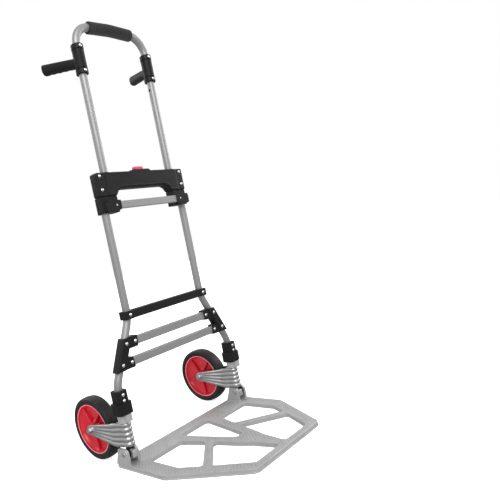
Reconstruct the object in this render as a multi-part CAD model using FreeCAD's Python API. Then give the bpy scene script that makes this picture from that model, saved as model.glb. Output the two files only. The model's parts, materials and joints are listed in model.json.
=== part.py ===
"""Folding two-wheel hand truck with a telescoping handle.

Sizes are in millimetres.  +Z is up, the toe plate points to -Y, and the pushing side is +Y.
"left" is +X and "right" is -X, as seen by the person who pushes.  The frame tubes stand upright
in the plane y = 0 while the pieces are built.  At the end everything is shifted along Y, so that
the origin lies on the floor in the middle of the truck's box.

Rest pose: handle pulled out, side grips swung back, toe plate down, wheels turned to the rear.
"""
import FreeCAD, Part
import math
import os

V = FreeCAD.Vector

# ---- overall sizes -------------------------------------------------------------------------
leg_half_gauge = 220.5          # leg axis to the middle, at the wheels
frame_half_gauge = 142.0        # frame tube axis to the middle, at the bridge
bridge_top = 731.0              # height of the fixed frame
handle_apex = 1110.0            # highest point of the handle's centre line, pulled out
handle_travel = 246.0           # how far the handle slides down
pin_height = 38.0               # toe plate hinge pin above the floor
plate_front = 315.0             # toe plate's front edge ahead of the hinge pin
plate_back = 36.0               # its rear edge behind the pin
wheel_diameter = 170.0
tyre_width = 36.0

# ---- tubes ---------------------------------------------------------------------------------
tube_radius = 10.25
tube_wall = 1.2
tube_spacing = 3.5              # free space between a handle tube and its frame tube
frame_bend_radius = 90.0
upper_bend_height = 359.0       # where the frame tubes start to spread
lower_bend_height = 203.0       # where they stand upright again
tube_head_inset = 5.0           # frame tube's upper end under the bridge's top
handle_corner_radius = 50.0
handle_bow = 6.0                # rise of the grip bar from its corners to its middle
handle_bow_radius = 400.0
handle_half_gauge = frame_half_gauge - 2 * tube_radius - tube_spacing

# ---- clearances ----------------------------------------------------------------------------
slide_gap = 0.3                 # sliding and turning plastic on tube
running_gap = 0.08              # pins in bores
face_gap = 0.4                  # between faces that turn past each other

# ---- rivets and screws ---------------------------------------------------------------------
rivet_radius = 2.4
rivet_head_radius = 4.5
rivet_head_height = 2.2

# ---- bridge --------------------------------------------------------------------------------
bridge_half_width = frame_half_gauge + 14.5
bridge_half_depth = tube_radius + 5.25
bridge_end_height = 61.0
bridge_mid_height = 43.0
bridge_arch_half = handle_half_gauge - 38.0     # flat part of the arch
bridge_arch_foot = handle_half_gauge - 16.0     # arch at its lowest point
bridge_end_block = handle_half_gauge - 14.0     # inner end of the solid tube blocks
bridge_end_step = handle_half_gauge + 11.0      # where the thinner rivet lands start
bridge_step = 1.5
bridge_wall = 2.5
bridge_end_round = 5.0
arch_knee_out = 0.62            # the arch's knee, as a share of the way out to its foot
arch_knee_down = 0.32           # and as a share of the way down
guide_web_x = 60.0              # webs that carry the lock rods
guide_web_thickness = 3.0
hump_half_width = 31.5
hump_height = 5.0
hump_slant = 3.0
bridge_rivet_x = frame_half_gauge + 3.3
bridge_rivet_drop = (9.0, 44.0) # below the bridge's top

# ---- release mechanism ---------------------------------------------------------------------
button_half_width = 15.0
button_half_depth = 7.0
button_proud = 8.0              # above the hump
button_travel = 5.0
button_lip = 2.5                # lip that holds the button under the bridge's top
button_lip_height = 3.0
button_round = 3.0
stem_half_width = 13.0
stem_half_depth = 2.5
stem_below_pin = 6.0            # stem's lower end under the rods' axis
seat_height = 1.5               # spring seat under the stem
rod_drop = 18.0                 # lock rods' axis below the bridge's top
rod_radius = 3.0
rod_pin_radius = 1.5
rod_pin_x = 9.5
rod_block = (3.0, 12.0)         # rod's end block, inwards and outwards from its pin
rod_block_half_depth = 7.0
rod_block_half_height = 4.0
spring_radius = 4.0
spring_wire = 0.8
spring_turns = 5

# ---- handle pieces -------------------------------------------------------------------------
foam_radius = tube_radius + 5.25
foam_half_length = 71.5
foam_end_round = 2.5
ring_radius = tube_radius + 5.75
ring_height = 13.0
ring_drop = 54.0                # top of the upper grip ring below the handle's apex
ring_pitch = 61.0               # between the two rings' lower faces
ring_spot_depth = 0.9           # flats under the rings' rivet heads
ring_chamfer = 1.0
grip_swing = 110.0              # degrees from pointing inwards to the open position
grip_sleeve_radius = tube_radius + 5.25
grip_reach = 112.0              # tube axis to the grip's tip
grip_rise = 20.0                # rise of the grip's axis over its reach
grip_root_drop = 44.7           # grip's axis at the tube, below the upper ring's top
grip_half_depth = 12.5
grip_root_half_height = 13.0
grip_tip_half_height = 14.3
grip_tip_round = 2.0
finger_groove_count = 4
finger_groove_depth = 1.4
finger_groove_share = 0.9       # a groove's radius as a share of the pitch
finger_groove_start = 17.0      # from the sleeve to the first groove
finger_groove_end = 8.0         # from the last groove to the tip

# ---- slide blocks --------------------------------------------------------------------------
block_inner_x = handle_half_gauge - 15.0
block_outer_x = frame_half_gauge + 13.0
block_height = 41.0
block_gap = 0.5                 # under the bridge
block_front = tube_radius + 14.75
block_body_front = tube_radius + 3.25
block_back = tube_radius + 6.75
block_round = 5.0
block_nose_drop = 12.0
nose_chamfer = 4.0              # slants at the nose's outer end
nose_sweep = (12.0, 6.0)        # slant under its inner end
nose_keel = 1.5                 # slope of its underside
nose_round = 2.0
slide_bar_height = 19.0
slide_bar_depth = 11.5
slide_bar_gap = 1.25            # between the handle tube and the bar
slide_bar_rise = 16.5           # bar's middle above the block's underside
slide_bar_insert = 12.0         # how far the bar goes on past the handle tube's axis
slide_bar_round = 1.5
handle_foot_rise = 3.5          # handle tube's end above the block's underside

# ---- lower frame ---------------------------------------------------------------------------
bar_wall = 1.3
strap_half_width = frame_half_gauge + 15.5
strap_height = 21.0
strap_drop = 3.0                # strap bar's underside below the upper bend
strap_end_half_depth = tube_radius + 4.75
strap_mid_half_depth = tube_radius + 0.75
strap_end_width = 30.0
strap_flare = 6.0
strap_round = 4.0
crossbar_height = 21.0
crossbar_depth = 14.0
crossbar_round = 2.0
upper_bar_height = 298.5        # bar centre above the floor
lower_bar_height = 249.7
bracket_above = 14.5            # bracket's top above the upper bar's centre
bracket_below = 13.7            # bracket's bottom below the lower bar's centre
bracket_wall = 3.5
bracket_half_depth = tube_radius + 3.15
bracket_ear_half_depth = 10.0
bracket_ear_height = 28.0
bracket_round = 5.0
ear_reach = 41.0                # from the leg's axis to an ear's inner end
ear_slant = 3.0
ear_corner = 3.0
bar_end_gap = 1.24              # between a bar's end and the leaning leg
ear_rivet_inset = 9.0
collar_height = 21.0            # from the fork's hub to the socket
socket_step_rise = 29.0
socket_rise = 59.0
socket_half_width = tube_radius + 11.75
socket_half_depth = tube_radius + 10.75
socket_back_inset = 3.0
socket_neck_half = tube_radius + 5.75
socket_round = 9.0
socket_neck_round = 7.0
socket_rivet_rises = (34.0, 48.5)
collar_radius = tube_radius + 5.75
collar_lug_reach = tube_radius + 14.75
collar_lug_half_width = 9.0
collar_lug_height = 17.0
collar_lug_round = 3.0

# ---- fork ----------------------------------------------------------------------------------
hub_above_pin = 14.0            # from the hinge pin up to the fork's hub
hub_height = 62.0
hub_radius = tube_radius + 4.25
hub_wall_behind = hub_radius + 4.0      # leg axis to the front of the wheel space
tyre_gap = 1.5
wheel_behind_plate = 5.0
arm_thickness = 5.0
arm_end_radius = 13.0
flare_length = 32.0
wheel_space_round = 8.0
rib_proud = 1.1
rib_height = 3.0
rib_count = 5
rib_stop = 11.0                 # a rib's end ahead of the axle
snap_ring_rise = 28.0           # above the hub's underside
snap_ring_thickness = 2.0
snap_ring_width = 1.6
snap_ring_split = 4.0

# ---- wheel ---------------------------------------------------------------------------------
tyre_height = 17.5
tyre_lip = 2.0                  # how far the tyre stands over each side of the rim
tyre_shoulder = 6.0
rim_barrel = 4.0
rim_web = 5.0
rim_hub_radius = 15.0
spoke_count = 5
spoke_thickness = 4.0
bush_radius = 8.0
axle_radius = 4.0
washer_radius = 9.0
washer_thickness = 1.6
hex_across_flats = 13.0
hex_height = 5.3

# ---- foot, hinge and bevel gears -----------------------------------------------------------
foot_plug_length = 38.0
tongue_half_width = 6.5
tongue_half_depth = 14.0
tongue_below_pin = 15.0
tongue_above_pin = 5.0
tongue_round = 4.0
neck_radius = 6.5
inner_ear = (-14.5, -7.4)       # inner ear faces, measured outwards from the leg axis
outer_ear = (16.2, 24.5)        # outer ear faces
ear_round = 13.0
ear_back = 20.0
ear_foot = 35.0
ear_back_round = 4.0
hinge_pin_radius = 4.0
pin_head_radius = 5.5
pin_head_height = 2.0
pin_end = 3.0                   # pin's end beyond the inner ear
clip_thickness = 1.5
gear_teeth = 12
gear_pitch_radius = 11.5
gear_inner_share = 0.7          # inner end of the teeth along the pitch cone
gear_addendum = 1.1
gear_dedendum = 1.5
gear_backlash = 0.6
gear_flank_angle = 22.0
fork_gear_flange = tube_radius + 1.389          # solid edge that meets the fork's hub
plate_gear_flange = 11.639                      # and the one against the plate's ear
tooth_overlap = 0.4                             # how deep the teeth are rooted in the body
gear_face_slope = 0.3                           # fall of the inner face towards the bore
gear_bore = 7.0
gear_sector = (-112.0, 22.0)    # degrees of the fork gear that carry teeth

# ---- toe plate -----------------------------------------------------------------------------
plate_thickness = 11.0
plate_half_width = leg_half_gauge + outer_ear[1]
plate_front_half = 135.0
plate_straight = 135.0          # length of the straight sides ahead of the pin
plate_skin = 4.0
plate_wall = 3.5
plate_corner_radius = 22.0
plate_side_radius = 30.0
plate_rear_radius = 8.0
opening_corner_radius = 9.0
arch_corner_radius = 12.0
side_bar_width = 34.0           # the plate's bar along its slanting side
side_rail_width = 45.0          # and along its straight side
front_bar_width = 21.0

# ---- values that follow from the sizes above -----------------------------------------------
wheel_radius = wheel_diameter / 2
axle_height = wheel_radius
rim_radius = wheel_radius - tyre_height
rim_half_width = tyre_width / 2 - tyre_lip
fork_reach = wheel_radius + plate_back + wheel_behind_plate
arm_inner = tyre_width / 2 + tyre_gap
arm_outer = arm_inner + arm_thickness
arm_back = fork_reach + arm_end_radius
hub_bottom = pin_height + hub_above_pin
hub_top = hub_bottom + hub_height
snap_ring_height = hub_bottom + snap_ring_rise
socket_bottom = hub_top + collar_height
socket_step = socket_bottom + socket_step_rise
socket_top = socket_bottom + socket_rise
tongue_bottom = pin_height - tongue_below_pin
tongue_top = pin_height + tongue_above_pin
bracket_top = upper_bar_height + bracket_above
bracket_bottom = lower_bar_height - bracket_below
strap_bottom = upper_bend_height - strap_drop
rod_height = bridge_top - rod_drop
bridge_bottom = bridge_top - bridge_end_height
bridge_mid_bottom = bridge_top - bridge_mid_height
hump_top = bridge_top + hump_height
block_top = bridge_bottom - block_gap
block_bottom = block_top - block_height
slide_bar_middle = block_bottom + slide_bar_rise
slide_bar_y = -tube_radius - slide_bar_gap - slide_bar_depth / 2
ring_top = handle_apex - ring_drop
ring_bottoms = (ring_top - ring_height - ring_pitch, ring_top - ring_height)
grip_root_height = ring_top - grip_root_drop
spread_slope = (leg_half_gauge - frame_half_gauge) / (upper_bend_height - lower_bend_height)
tube_foot = hub_bottom + slide_gap
origin_shift = (plate_front - (fork_reach + wheel_radius)) / 2
lean_half_width = tube_radius / math.cos(math.atan(spread_slope))
beyond = 1.0                    # how far a cutting shape goes past the face that it cuts

NODES = {}


def keep(name, shape):
    """Store a finished piece under its node name."""
    NODES[name] = shape


def keep_pair(name, left_shape):
    """Store a left piece and its mirror image on the right."""
    keep(name + "_left", left_shape)
    keep(name + "_right", mirrored(left_shape))


def mirrored(shape):
    return shape.mirror(V(0, 0, 0), V(1, 0, 0))


def box(x0, x1, y0, y1, z0, z1):
    return Part.makeBox(x1 - x0, y1 - y0, z1 - z0, V(x0, y0, z0))


def rod(start, end, radius):
    """A cylinder between two points."""
    path = V(*end) - V(*start)
    return Part.makeCylinder(radius, path.Length, V(*start), path)


def prism(points, axis, low, high):
    """Extrude a polygon along x, y or z; its points name the other two coordinates in order."""
    place = {
        "x": lambda a, b: V(low, a, b),
        "y": lambda a, b: V(a, low, b),
        "z": lambda a, b: V(a, b, low),
    }[axis]
    length = {"x": V(high - low, 0, 0), "y": V(0, high - low, 0), "z": V(0, 0, high - low)}[axis]
    corners = [place(a, b) for a, b in points]
    return Part.Face(Part.makePolygon(corners + corners[:1])).extrude(length)


def rounded_edges(shape, direction, radius, where=None):
    """Fillet every straight edge that runs along a direction."""
    chosen = []
    for edge in shape.Edges:
        if edge.Curve.TypeId != "Part::GeomLine":
            continue
        along = edge.Vertexes[-1].Point - edge.Vertexes[0].Point
        if along.Length < 1e-6 or abs(abs(along.normalize().dot(V(*direction))) - 1) > 1e-4:
            continue
        if where is None or where(edge.CenterOfMass):
            chosen.append(edge)
    return shape.makeFillet(radius, chosen) if chosen else shape


def rounded_box(x0, x1, y0, y1, z0, z1, direction, radius):
    return rounded_edges(box(x0, x1, y0, y1, z0, z1), direction, radius)


def fused(shapes):
    result = shapes[0]
    for shape in shapes[1:]:
        result = result.fuse(shape)
    return result.removeSplitter()


def arc_path(points, radii):
    """A wire of straight runs joined by tangent arcs at the inner points."""
    edges = []
    start = V(*points[0])
    for i, radius in enumerate(radii, start=1):
        corner = V(*points[i])
        into = (corner - V(*points[i - 1])).normalize()
        away = (V(*points[i + 1]) - corner).normalize()
        turn = math.acos(max(-1.0, min(1.0, into.dot(away))))
        cut = radius * math.tan(turn / 2)
        arc_start = corner - into * cut
        arc_end = corner + away * cut
        to_middle = (away - into).normalize()
        middle = corner + to_middle * (radius / math.cos(turn / 2) - radius)
        edges.append(Part.LineSegment(start, arc_start).toShape())
        edges.append(Part.Arc(arc_start, middle, arc_end).toShape())
        start = arc_end
    edges.append(Part.LineSegment(start, V(*points[-1])).toShape())
    return Part.Wire(edges)


def swept_rod(path, radius):
    """A solid round bar along a path."""
    start = path.Edges[0]
    circle = Part.makeCircle(radius, start.valueAt(start.FirstParameter),
                             start.tangentAt(start.FirstParameter))
    return path.makePipeShell([Part.Wire([circle])], True, True)


def through_hole(x, z, half_length, radius=rivet_radius):
    return rod((x, -half_length, z), (x, half_length, z), radius)


def domed_head(x, y, z, side):
    """A low dome on a face that looks along -Y or +Y (side -1 or +1)."""
    sphere_radius = (rivet_head_radius ** 2 + rivet_head_height ** 2) / (2 * rivet_head_height)
    centre = V(x, y - side * (sphere_radius - rivet_head_height), z)
    dome = Part.makeSphere(sphere_radius, centre)
    slab = rod((x, y, z), (x, y + side * rivet_head_height, z), rivet_head_radius)
    return dome.common(slab)


def rivet(x, z, front, back):
    """A rivet along Y with a domed head on each face."""
    shank = rod((x, front, z), (x, back, z), rivet_radius)
    return fused([shank, domed_head(x, front, z, -1), domed_head(x, back, z, 1)])


def rivet_group(name, places, front, back):
    """Identical rivets on both sides share one node as separate solids."""
    solids = [rivet(side * x, z, front, back) for x, z in places for side in (1, -1)]
    keep(name, Part.Compound(solids))


def leg_x(height):
    """Frame tube axis on the left at a height on the leaning stretch."""
    return frame_half_gauge + (upper_bend_height - height) * spread_slope


# ---- frame tubes ---------------------------------------------------------------------------
frame_points = [
    (frame_half_gauge, 0, bridge_top - tube_head_inset),
    (frame_half_gauge, 0, upper_bend_height),
    (leg_half_gauge, 0, lower_bend_height),
    (leg_half_gauge, 0, tube_foot),
]
frame_path = arc_path(frame_points, [frame_bend_radius, frame_bend_radius])
frame_core = swept_rod(frame_path, tube_radius)
frame_bore = swept_rod(frame_path, tube_radius - tube_wall)

bridge_rivets = [(bridge_rivet_x, bridge_top - drop) for drop in bridge_rivet_drop]
strap_rivets = [(frame_half_gauge, strap_bottom + strap_height / 2)]
leg_rivets = [(leg_x(z), z) for z in (upper_bar_height, lower_bar_height)]
bar_rivets = [(leg_x(z) - ear_reach + ear_rivet_inset, z) for z in (upper_bar_height, lower_bar_height)]
socket_rivets = [(leg_half_gauge, socket_bottom + rise) for rise in socket_rivet_rises]
tube_holes = [through_hole(x, z, 30) for x, z in bridge_rivets + strap_rivets + leg_rivets + socket_rivets]


def make_frame_tubes():
    keep_pair("frame_tube", frame_core.cut(frame_bore).cut(tube_holes))


# ---- bridge --------------------------------------------------------------------------------
def bridge_outline(low, high):
    """The bridge's front view between two depths, with the arch and the hump."""
    arch_middle = (bridge_arch_half + (bridge_arch_foot - bridge_arch_half) * arch_knee_out,
                   bridge_mid_bottom - (bridge_mid_bottom - bridge_bottom) * arch_knee_down)
    half = [
        (0, hump_top),
        (hump_half_width - hump_slant, hump_top),
        (hump_half_width, bridge_top),
        (bridge_half_width, bridge_top),
        (bridge_half_width, bridge_bottom),
        (bridge_arch_foot, bridge_bottom),
        arch_middle,
        (bridge_arch_half, bridge_mid_bottom),
        (0, bridge_mid_bottom),
    ]
    other = [(-x, z) for x, z in reversed(half[1:-1])]
    return prism(half + other, "y", low, high)


def bridge_cavity():
    """The hollow that holds the lock mechanism."""
    return box(-bridge_end_block, bridge_end_block, -bridge_half_depth + bridge_wall,
               bridge_half_depth - bridge_wall, bridge_mid_bottom + bridge_wall,
               bridge_top - bridge_wall)


def bridge_guides():
    """Webs that carry the lock rods half way along."""
    half = guide_web_thickness / 2
    return [box(side * guide_web_x - half, side * guide_web_x + half, -bridge_half_depth + 1,
                bridge_half_depth - 1, bridge_mid_bottom + 1, bridge_top - 1) for side in (1, -1)]


def make_bridge():
    low = -bridge_half_depth
    body = bridge_outline(low, bridge_half_depth)
    body = rounded_edges(body, (0, 1, 0), bridge_end_round,
                         lambda p: abs(p.x) > bridge_half_width - 1)
    body = body.cut(bridge_cavity())
    body = fused([body] + bridge_guides())
    land_low = bridge_bottom - 1
    for face in (-1, 1):
        deep = sorted((face * (bridge_half_depth - bridge_step), face * (bridge_half_depth + 1)))
        for side in (-1, 1):
            wide = sorted((side * bridge_end_step, side * (bridge_half_width + 1)))
            body = body.cut(box(wide[0], wide[1], deep[0], deep[1], land_low, bridge_top + 1))
    body = body.cut([frame_core, mirrored(frame_core)])
    for side in (1, -1):
        x = side * handle_half_gauge
        body = body.cut(rod((x, 0, bridge_bottom - 1), (x, 0, hump_top), tube_radius + slide_gap))
        far = (side * (handle_half_gauge - tube_radius), 0, rod_height)
        body = body.cut(rod((0, 0, rod_height), far, rod_radius + running_gap))
        body = body.cut([through_hole(side * x_r, z, 20) for x_r, z in bridge_rivets])
    window = slide_gap
    body = body.cut(box(-button_half_width - window, button_half_width + window,
                        -button_half_depth - window, button_half_depth + window,
                        bridge_top - bridge_wall - 1, hump_top + 1))
    ends = bridge_half_width + beyond
    faces = bridge_half_depth + beyond
    keep("bridge_front_shell", body.common(box(-ends, ends, -faces, 0, 0, hump_top + beyond)))
    keep("bridge_rear_shell", body.common(box(-ends, ends, 0, faces, 0, hump_top + beyond)))
    land = bridge_half_depth - bridge_step
    rivet_group("bridge_rivets", bridge_rivets, -land, land)


# ---- release button, spring and lock rods --------------------------------------------------
def slot_prism(side):
    """Slanted slot in the button's stem that draws a rod inwards as the button goes down."""
    start = V(side * rod_pin_x, 0, rod_height)
    end = start + V(-side * button_travel, 0, button_travel)
    half = rod_pin_radius + running_gap
    across = V(end.z - start.z, 0, -(end.x - start.x)).normalize() * half
    flat = [start + across, end + across, end - across, start - across]
    depth = bridge_half_depth
    strip = prism([(p.x, p.z) for p in flat], "y", -depth, depth)
    ends = [rod((p.x, -depth, p.z), (p.x, depth, p.z), half) for p in (start, end)]
    return fused([strip] + ends)


def make_button():
    top = hump_top + button_proud
    under_top = bridge_top - bridge_wall
    cap = box(-button_half_width, button_half_width, -button_half_depth, button_half_depth,
              under_top - button_lip_height, top)
    cap = rounded_edges(cap, (0, 0, 1), button_round)
    lip = box(-button_half_width - button_lip, button_half_width + button_lip,
              -button_half_depth - button_lip, button_half_depth + button_lip,
              under_top - button_lip_height, under_top - slide_gap)
    stem_low = rod_height - stem_below_pin
    stem = box(-stem_half_width, stem_half_width, -stem_half_depth, stem_half_depth,
               stem_low, top - 2)
    seat = rod((0, 0, stem_low - seat_height), (0, 0, stem_low + 2), spring_radius + 1)
    button = fused([cap, lip, stem, seat])
    keep("release_button", button.cut([slot_prism(1), slot_prism(-1)]))
    make_button_spring(bridge_mid_bottom + bridge_wall, stem_low - seat_height)


def make_button_spring(low, high):
    """A round-wire coil between the bridge's floor and the button's seat."""
    coil_radius = spring_radius - spring_wire / 2
    rise = high - low - spring_wire
    helix = Part.makeHelix(rise / spring_turns, rise, coil_radius)
    helix.translate(V(0, 0, low + spring_wire / 2))
    first = helix.Edges[0]
    circle = Part.makeCircle(spring_wire / 2, first.valueAt(first.FirstParameter),
                             first.tangentAt(first.FirstParameter))
    coil = Part.Wire(helix.Edges).makePipeShell([Part.Wire([circle])], True, True)
    keep("button_spring", coil)


def make_lock_rods():
    """A rod with a forked block that straddles the stem, and a cross pin in the stem's slot."""
    tip = handle_half_gauge - tube_radius - slide_gap
    inwards, outwards = rod_block
    deep = rod_block_half_depth
    tall = rod_block_half_height
    slot_end = stem_half_width + button_travel + 1
    shaft = rod((slot_end, 0, rod_height), (tip, 0, rod_height), rod_radius)
    block = rounded_box(rod_pin_x - inwards, rod_pin_x + outwards, -deep, deep,
                        rod_height - tall, rod_height + tall, (0, 1, 0), tall / 2)
    cheek_gap = stem_half_depth + slide_gap
    block = block.cut(box(rod_pin_x - inwards - beyond, slot_end, -cheek_gap, cheek_gap,
                          rod_height - tall - beyond, rod_height + tall + beyond))
    cross = rod((rod_pin_x, -deep, rod_height), (rod_pin_x, deep, rod_height), rod_pin_radius)
    keep_pair("lock_rod", fused([block, shaft, cross]))


# ---- telescoping handle --------------------------------------------------------------------
handle_corner_height = handle_apex - handle_bow
handle_foot = block_bottom + handle_foot_rise
handle_points = [
    (-handle_half_gauge, 0, handle_foot),
    (-handle_half_gauge, 0, handle_corner_height),
    (0, 0, handle_apex),
    (handle_half_gauge, 0, handle_corner_height),
    (handle_half_gauge, 0, handle_foot),
]
handle_bends = [handle_corner_radius, handle_bow_radius, handle_corner_radius]
handle_core = swept_rod(arc_path(handle_points, handle_bends), tube_radius)
handle_bore = swept_rod(arc_path(handle_points, handle_bends), tube_radius - tube_wall)
ring_rivets = [(handle_half_gauge, low + ring_height / 2) for low in ring_bottoms]
slide_rivets = [(handle_half_gauge, slide_bar_middle)]


def make_handle_tube():
    tube = handle_core.cut(handle_bore)
    for side in (1, -1):
        tube = tube.cut([through_hole(side * x, z, 30) for x, z in ring_rivets + slide_rivets])
        for height in (rod_height, rod_height + handle_travel):
            hole = rod((0, 0, height), (side * handle_half_gauge, 0, height), rod_radius + slide_gap)
            tube = tube.cut(hole)
    keep("handle_tube", tube)


def make_foam_grip():
    end_height = handle_apex - handle_bow * foam_half_length / handle_half_gauge
    points = [(-foam_half_length, 0, end_height), (0, 0, handle_apex), (foam_half_length, 0, end_height)]
    foam = swept_rod(arc_path(points, [handle_bow_radius]), foam_radius)
    rims = [e for e in foam.Edges if abs(abs(e.CenterOfMass.x) - foam_half_length) < 2]
    foam = foam.makeFillet(foam_end_round, rims)
    keep("foam_grip", foam.cut(handle_core))


def make_grip_rings():
    rings = []
    for low in ring_bottoms:
        ring = rod((handle_half_gauge, 0, low), (handle_half_gauge, 0, low + ring_height), ring_radius)
        ring = ring.makeChamfer(ring_chamfer, [e for e in ring.Edges if e.Curve.TypeId == "Part::GeomCircle"])
        ring = ring.cut(handle_core)
        hole_height = low + ring_height / 2
        for side in (-1, 1):
            seat = (handle_half_gauge, side * (ring_radius - ring_spot_depth), hole_height)
            clear = (handle_half_gauge, side * (ring_radius + 1), hole_height)
            ring = ring.cut(rod(seat, clear, rivet_head_radius + slide_gap))
        rings.append(ring.cut(through_hole(handle_half_gauge, hole_height, 30)))
    keep_pair("grip_rings", Part.Compound(rings))
    seat_y = ring_radius - ring_spot_depth
    rivet_group("grip_ring_rivets", ring_rivets, -seat_y, seat_y)


def ellipse_wire(u, centre_z, half_depth, half_height):
    """An upright ellipse in the plane x = u."""
    centre = V(u, 0, centre_z)
    if half_height >= half_depth:
        ellipse = Part.Ellipse(centre + V(0, 0, half_height), centre + V(0, half_depth, 0), centre)
    else:
        ellipse = Part.Ellipse(centre + V(0, half_depth, 0), centre + V(0, 0, half_height), centre)
    return Part.Wire([ellipse.toShape()])


def make_side_grips():
    """A sleeve that turns between the rings, with a rising grip that has finger grooves."""
    low = ring_bottoms[0] + ring_height + face_gap
    high = ring_bottoms[1] - face_gap
    sleeve = rod((0, 0, low), (0, 0, high), grip_sleeve_radius)
    slope = grip_rise / grip_reach
    sections = []
    for share in (0.0, 0.5, 1.0):
        u = grip_reach * share
        half_height = grip_root_half_height + (grip_tip_half_height - grip_root_half_height) * share
        sections.append(ellipse_wire(u, grip_root_height + slope * u, grip_half_depth, half_height))
    arm = Part.makeLoft(sections, True, True)
    tip = [e for e in arm.Edges if abs(e.CenterOfMass.x - grip_reach) < 0.1]
    arm = arm.makeFillet(grip_tip_round, tip)
    first_groove = grip_sleeve_radius + finger_groove_start
    groove_pitch = (grip_reach - first_groove - finger_groove_end) / finger_groove_count
    groove_radius = groove_pitch * finger_groove_share
    for i in range(finger_groove_count):
        u = first_groove + groove_pitch * (i + 0.5)
        under = grip_root_height + slope * u - grip_tip_half_height
        z = under - groove_radius + finger_groove_depth
        arm = arm.cut(rod((u, -30, z), (u, 30, z), groove_radius))
    grip = fused([sleeve, arm])
    grip = grip.cut(rod((0, 0, low - 1), (0, 0, high + 20), tube_radius + slide_gap))
    left = grip.copy()
    left.rotate(V(0, 0, 0), V(0, 0, 1), 180 - grip_swing)
    left.translate(V(handle_half_gauge, 0, 0))
    keep_pair("side_grip", left)


def make_slide_blocks():
    body = box(block_inner_x, block_outer_x, -block_body_front, block_back, block_bottom, block_top)
    body = rounded_edges(body, (0, 0, 1), block_round,
                         lambda p: p.y > 0 or p.x > block_outer_x - 1)
    nose_top = block_top - block_nose_drop
    nose_outer_x = block_outer_x - nose_chamfer
    nose = prism([
        (block_inner_x, block_bottom + nose_sweep[1]),
        (block_inner_x + nose_sweep[0], block_bottom + nose_keel),
        (nose_outer_x - 3 * nose_chamfer, block_bottom),
        (nose_outer_x, block_bottom + nose_chamfer),
        (nose_outer_x, nose_top - nose_chamfer),
        (nose_outer_x - nose_chamfer, nose_top),
        (block_inner_x, nose_top),
    ], "y", -block_front, 0)
    nose = rounded_edges(nose, (0, 1, 0), nose_round)
    block = fused([body, nose])
    block = block.cut(rod((frame_half_gauge, 0, 0), (frame_half_gauge, 0, 2 * block_top),
                          tube_radius + slide_gap))
    block = block.cut(handle_core)
    pocket_end = handle_half_gauge + slide_bar_insert
    block = block.cut(slide_bar_solid(pocket_end))
    block = block.cut(through_hole(handle_half_gauge, slide_bar_middle, 40))
    keep_pair("slide_block", block)
    bar = slide_bar_solid(pocket_end)
    hollow = box(-pocket_end - 1, pocket_end + 1,
                 slide_bar_y - slide_bar_depth / 2 + bar_wall, slide_bar_y + slide_bar_depth / 2 - bar_wall,
                 slide_bar_middle - slide_bar_height / 2 + bar_wall,
                 slide_bar_middle + slide_bar_height / 2 - bar_wall)
    bar = bar.cut(hollow)
    bar = bar.cut([through_hole(side * handle_half_gauge, slide_bar_middle, 40) for side in (1, -1)])
    keep("slide_crossbar", bar)
    rivet_group("slide_rivets", slide_rivets, -block_front, block_back)


def slide_bar_solid(half_length):
    return rounded_box(-half_length, half_length, slide_bar_y - slide_bar_depth / 2,
                       slide_bar_y + slide_bar_depth / 2, slide_bar_middle - slide_bar_height / 2,
                       slide_bar_middle + slide_bar_height / 2, (1, 0, 0), slide_bar_round)


# ---- strap crossbar ------------------------------------------------------------------------
def make_strap_crossbar():
    end = strap_half_width
    step = end - strap_end_width
    outline = []
    for side in (1, -1):
        mid_y = side * strap_mid_half_depth
        end_y = side * strap_end_half_depth
        flare_x = side * (step + strap_flare)
        outline += [(side * step, mid_y), (flare_x, end_y), (side * end, end_y),
                    (side * end, -end_y), (flare_x, -end_y), (side * step, -mid_y)]
    bar = prism(outline, "z", strap_bottom, strap_bottom + strap_height)
    bar = rounded_edges(bar, (0, 0, 1), strap_round, lambda p: abs(p.x) > end - 1)
    for side in (1, -1):
        core = frame_core if side == 1 else mirrored(frame_core)
        bar = bar.cut(core)
        bar = bar.cut([through_hole(side * x, z, 30) for x, z in strap_rivets])
    keep("strap_crossbar", bar)
    rivet_group("strap_rivets", strap_rivets, -strap_end_half_depth, strap_end_half_depth)


# ---- side brackets and crossbars -----------------------------------------------------------
def crossbar_half_length(height):
    """Each bar ends just short of the leg, measured at its upper edge."""
    return leg_x(height) - lean_half_width - crossbar_height / 2 * spread_slope - bar_end_gap


def crossbar_solid(height, half_length):
    return rounded_box(-half_length, half_length, -crossbar_depth / 2, crossbar_depth / 2,
                       height - crossbar_height / 2, height + crossbar_height / 2, (1, 0, 0), crossbar_round)


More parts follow.
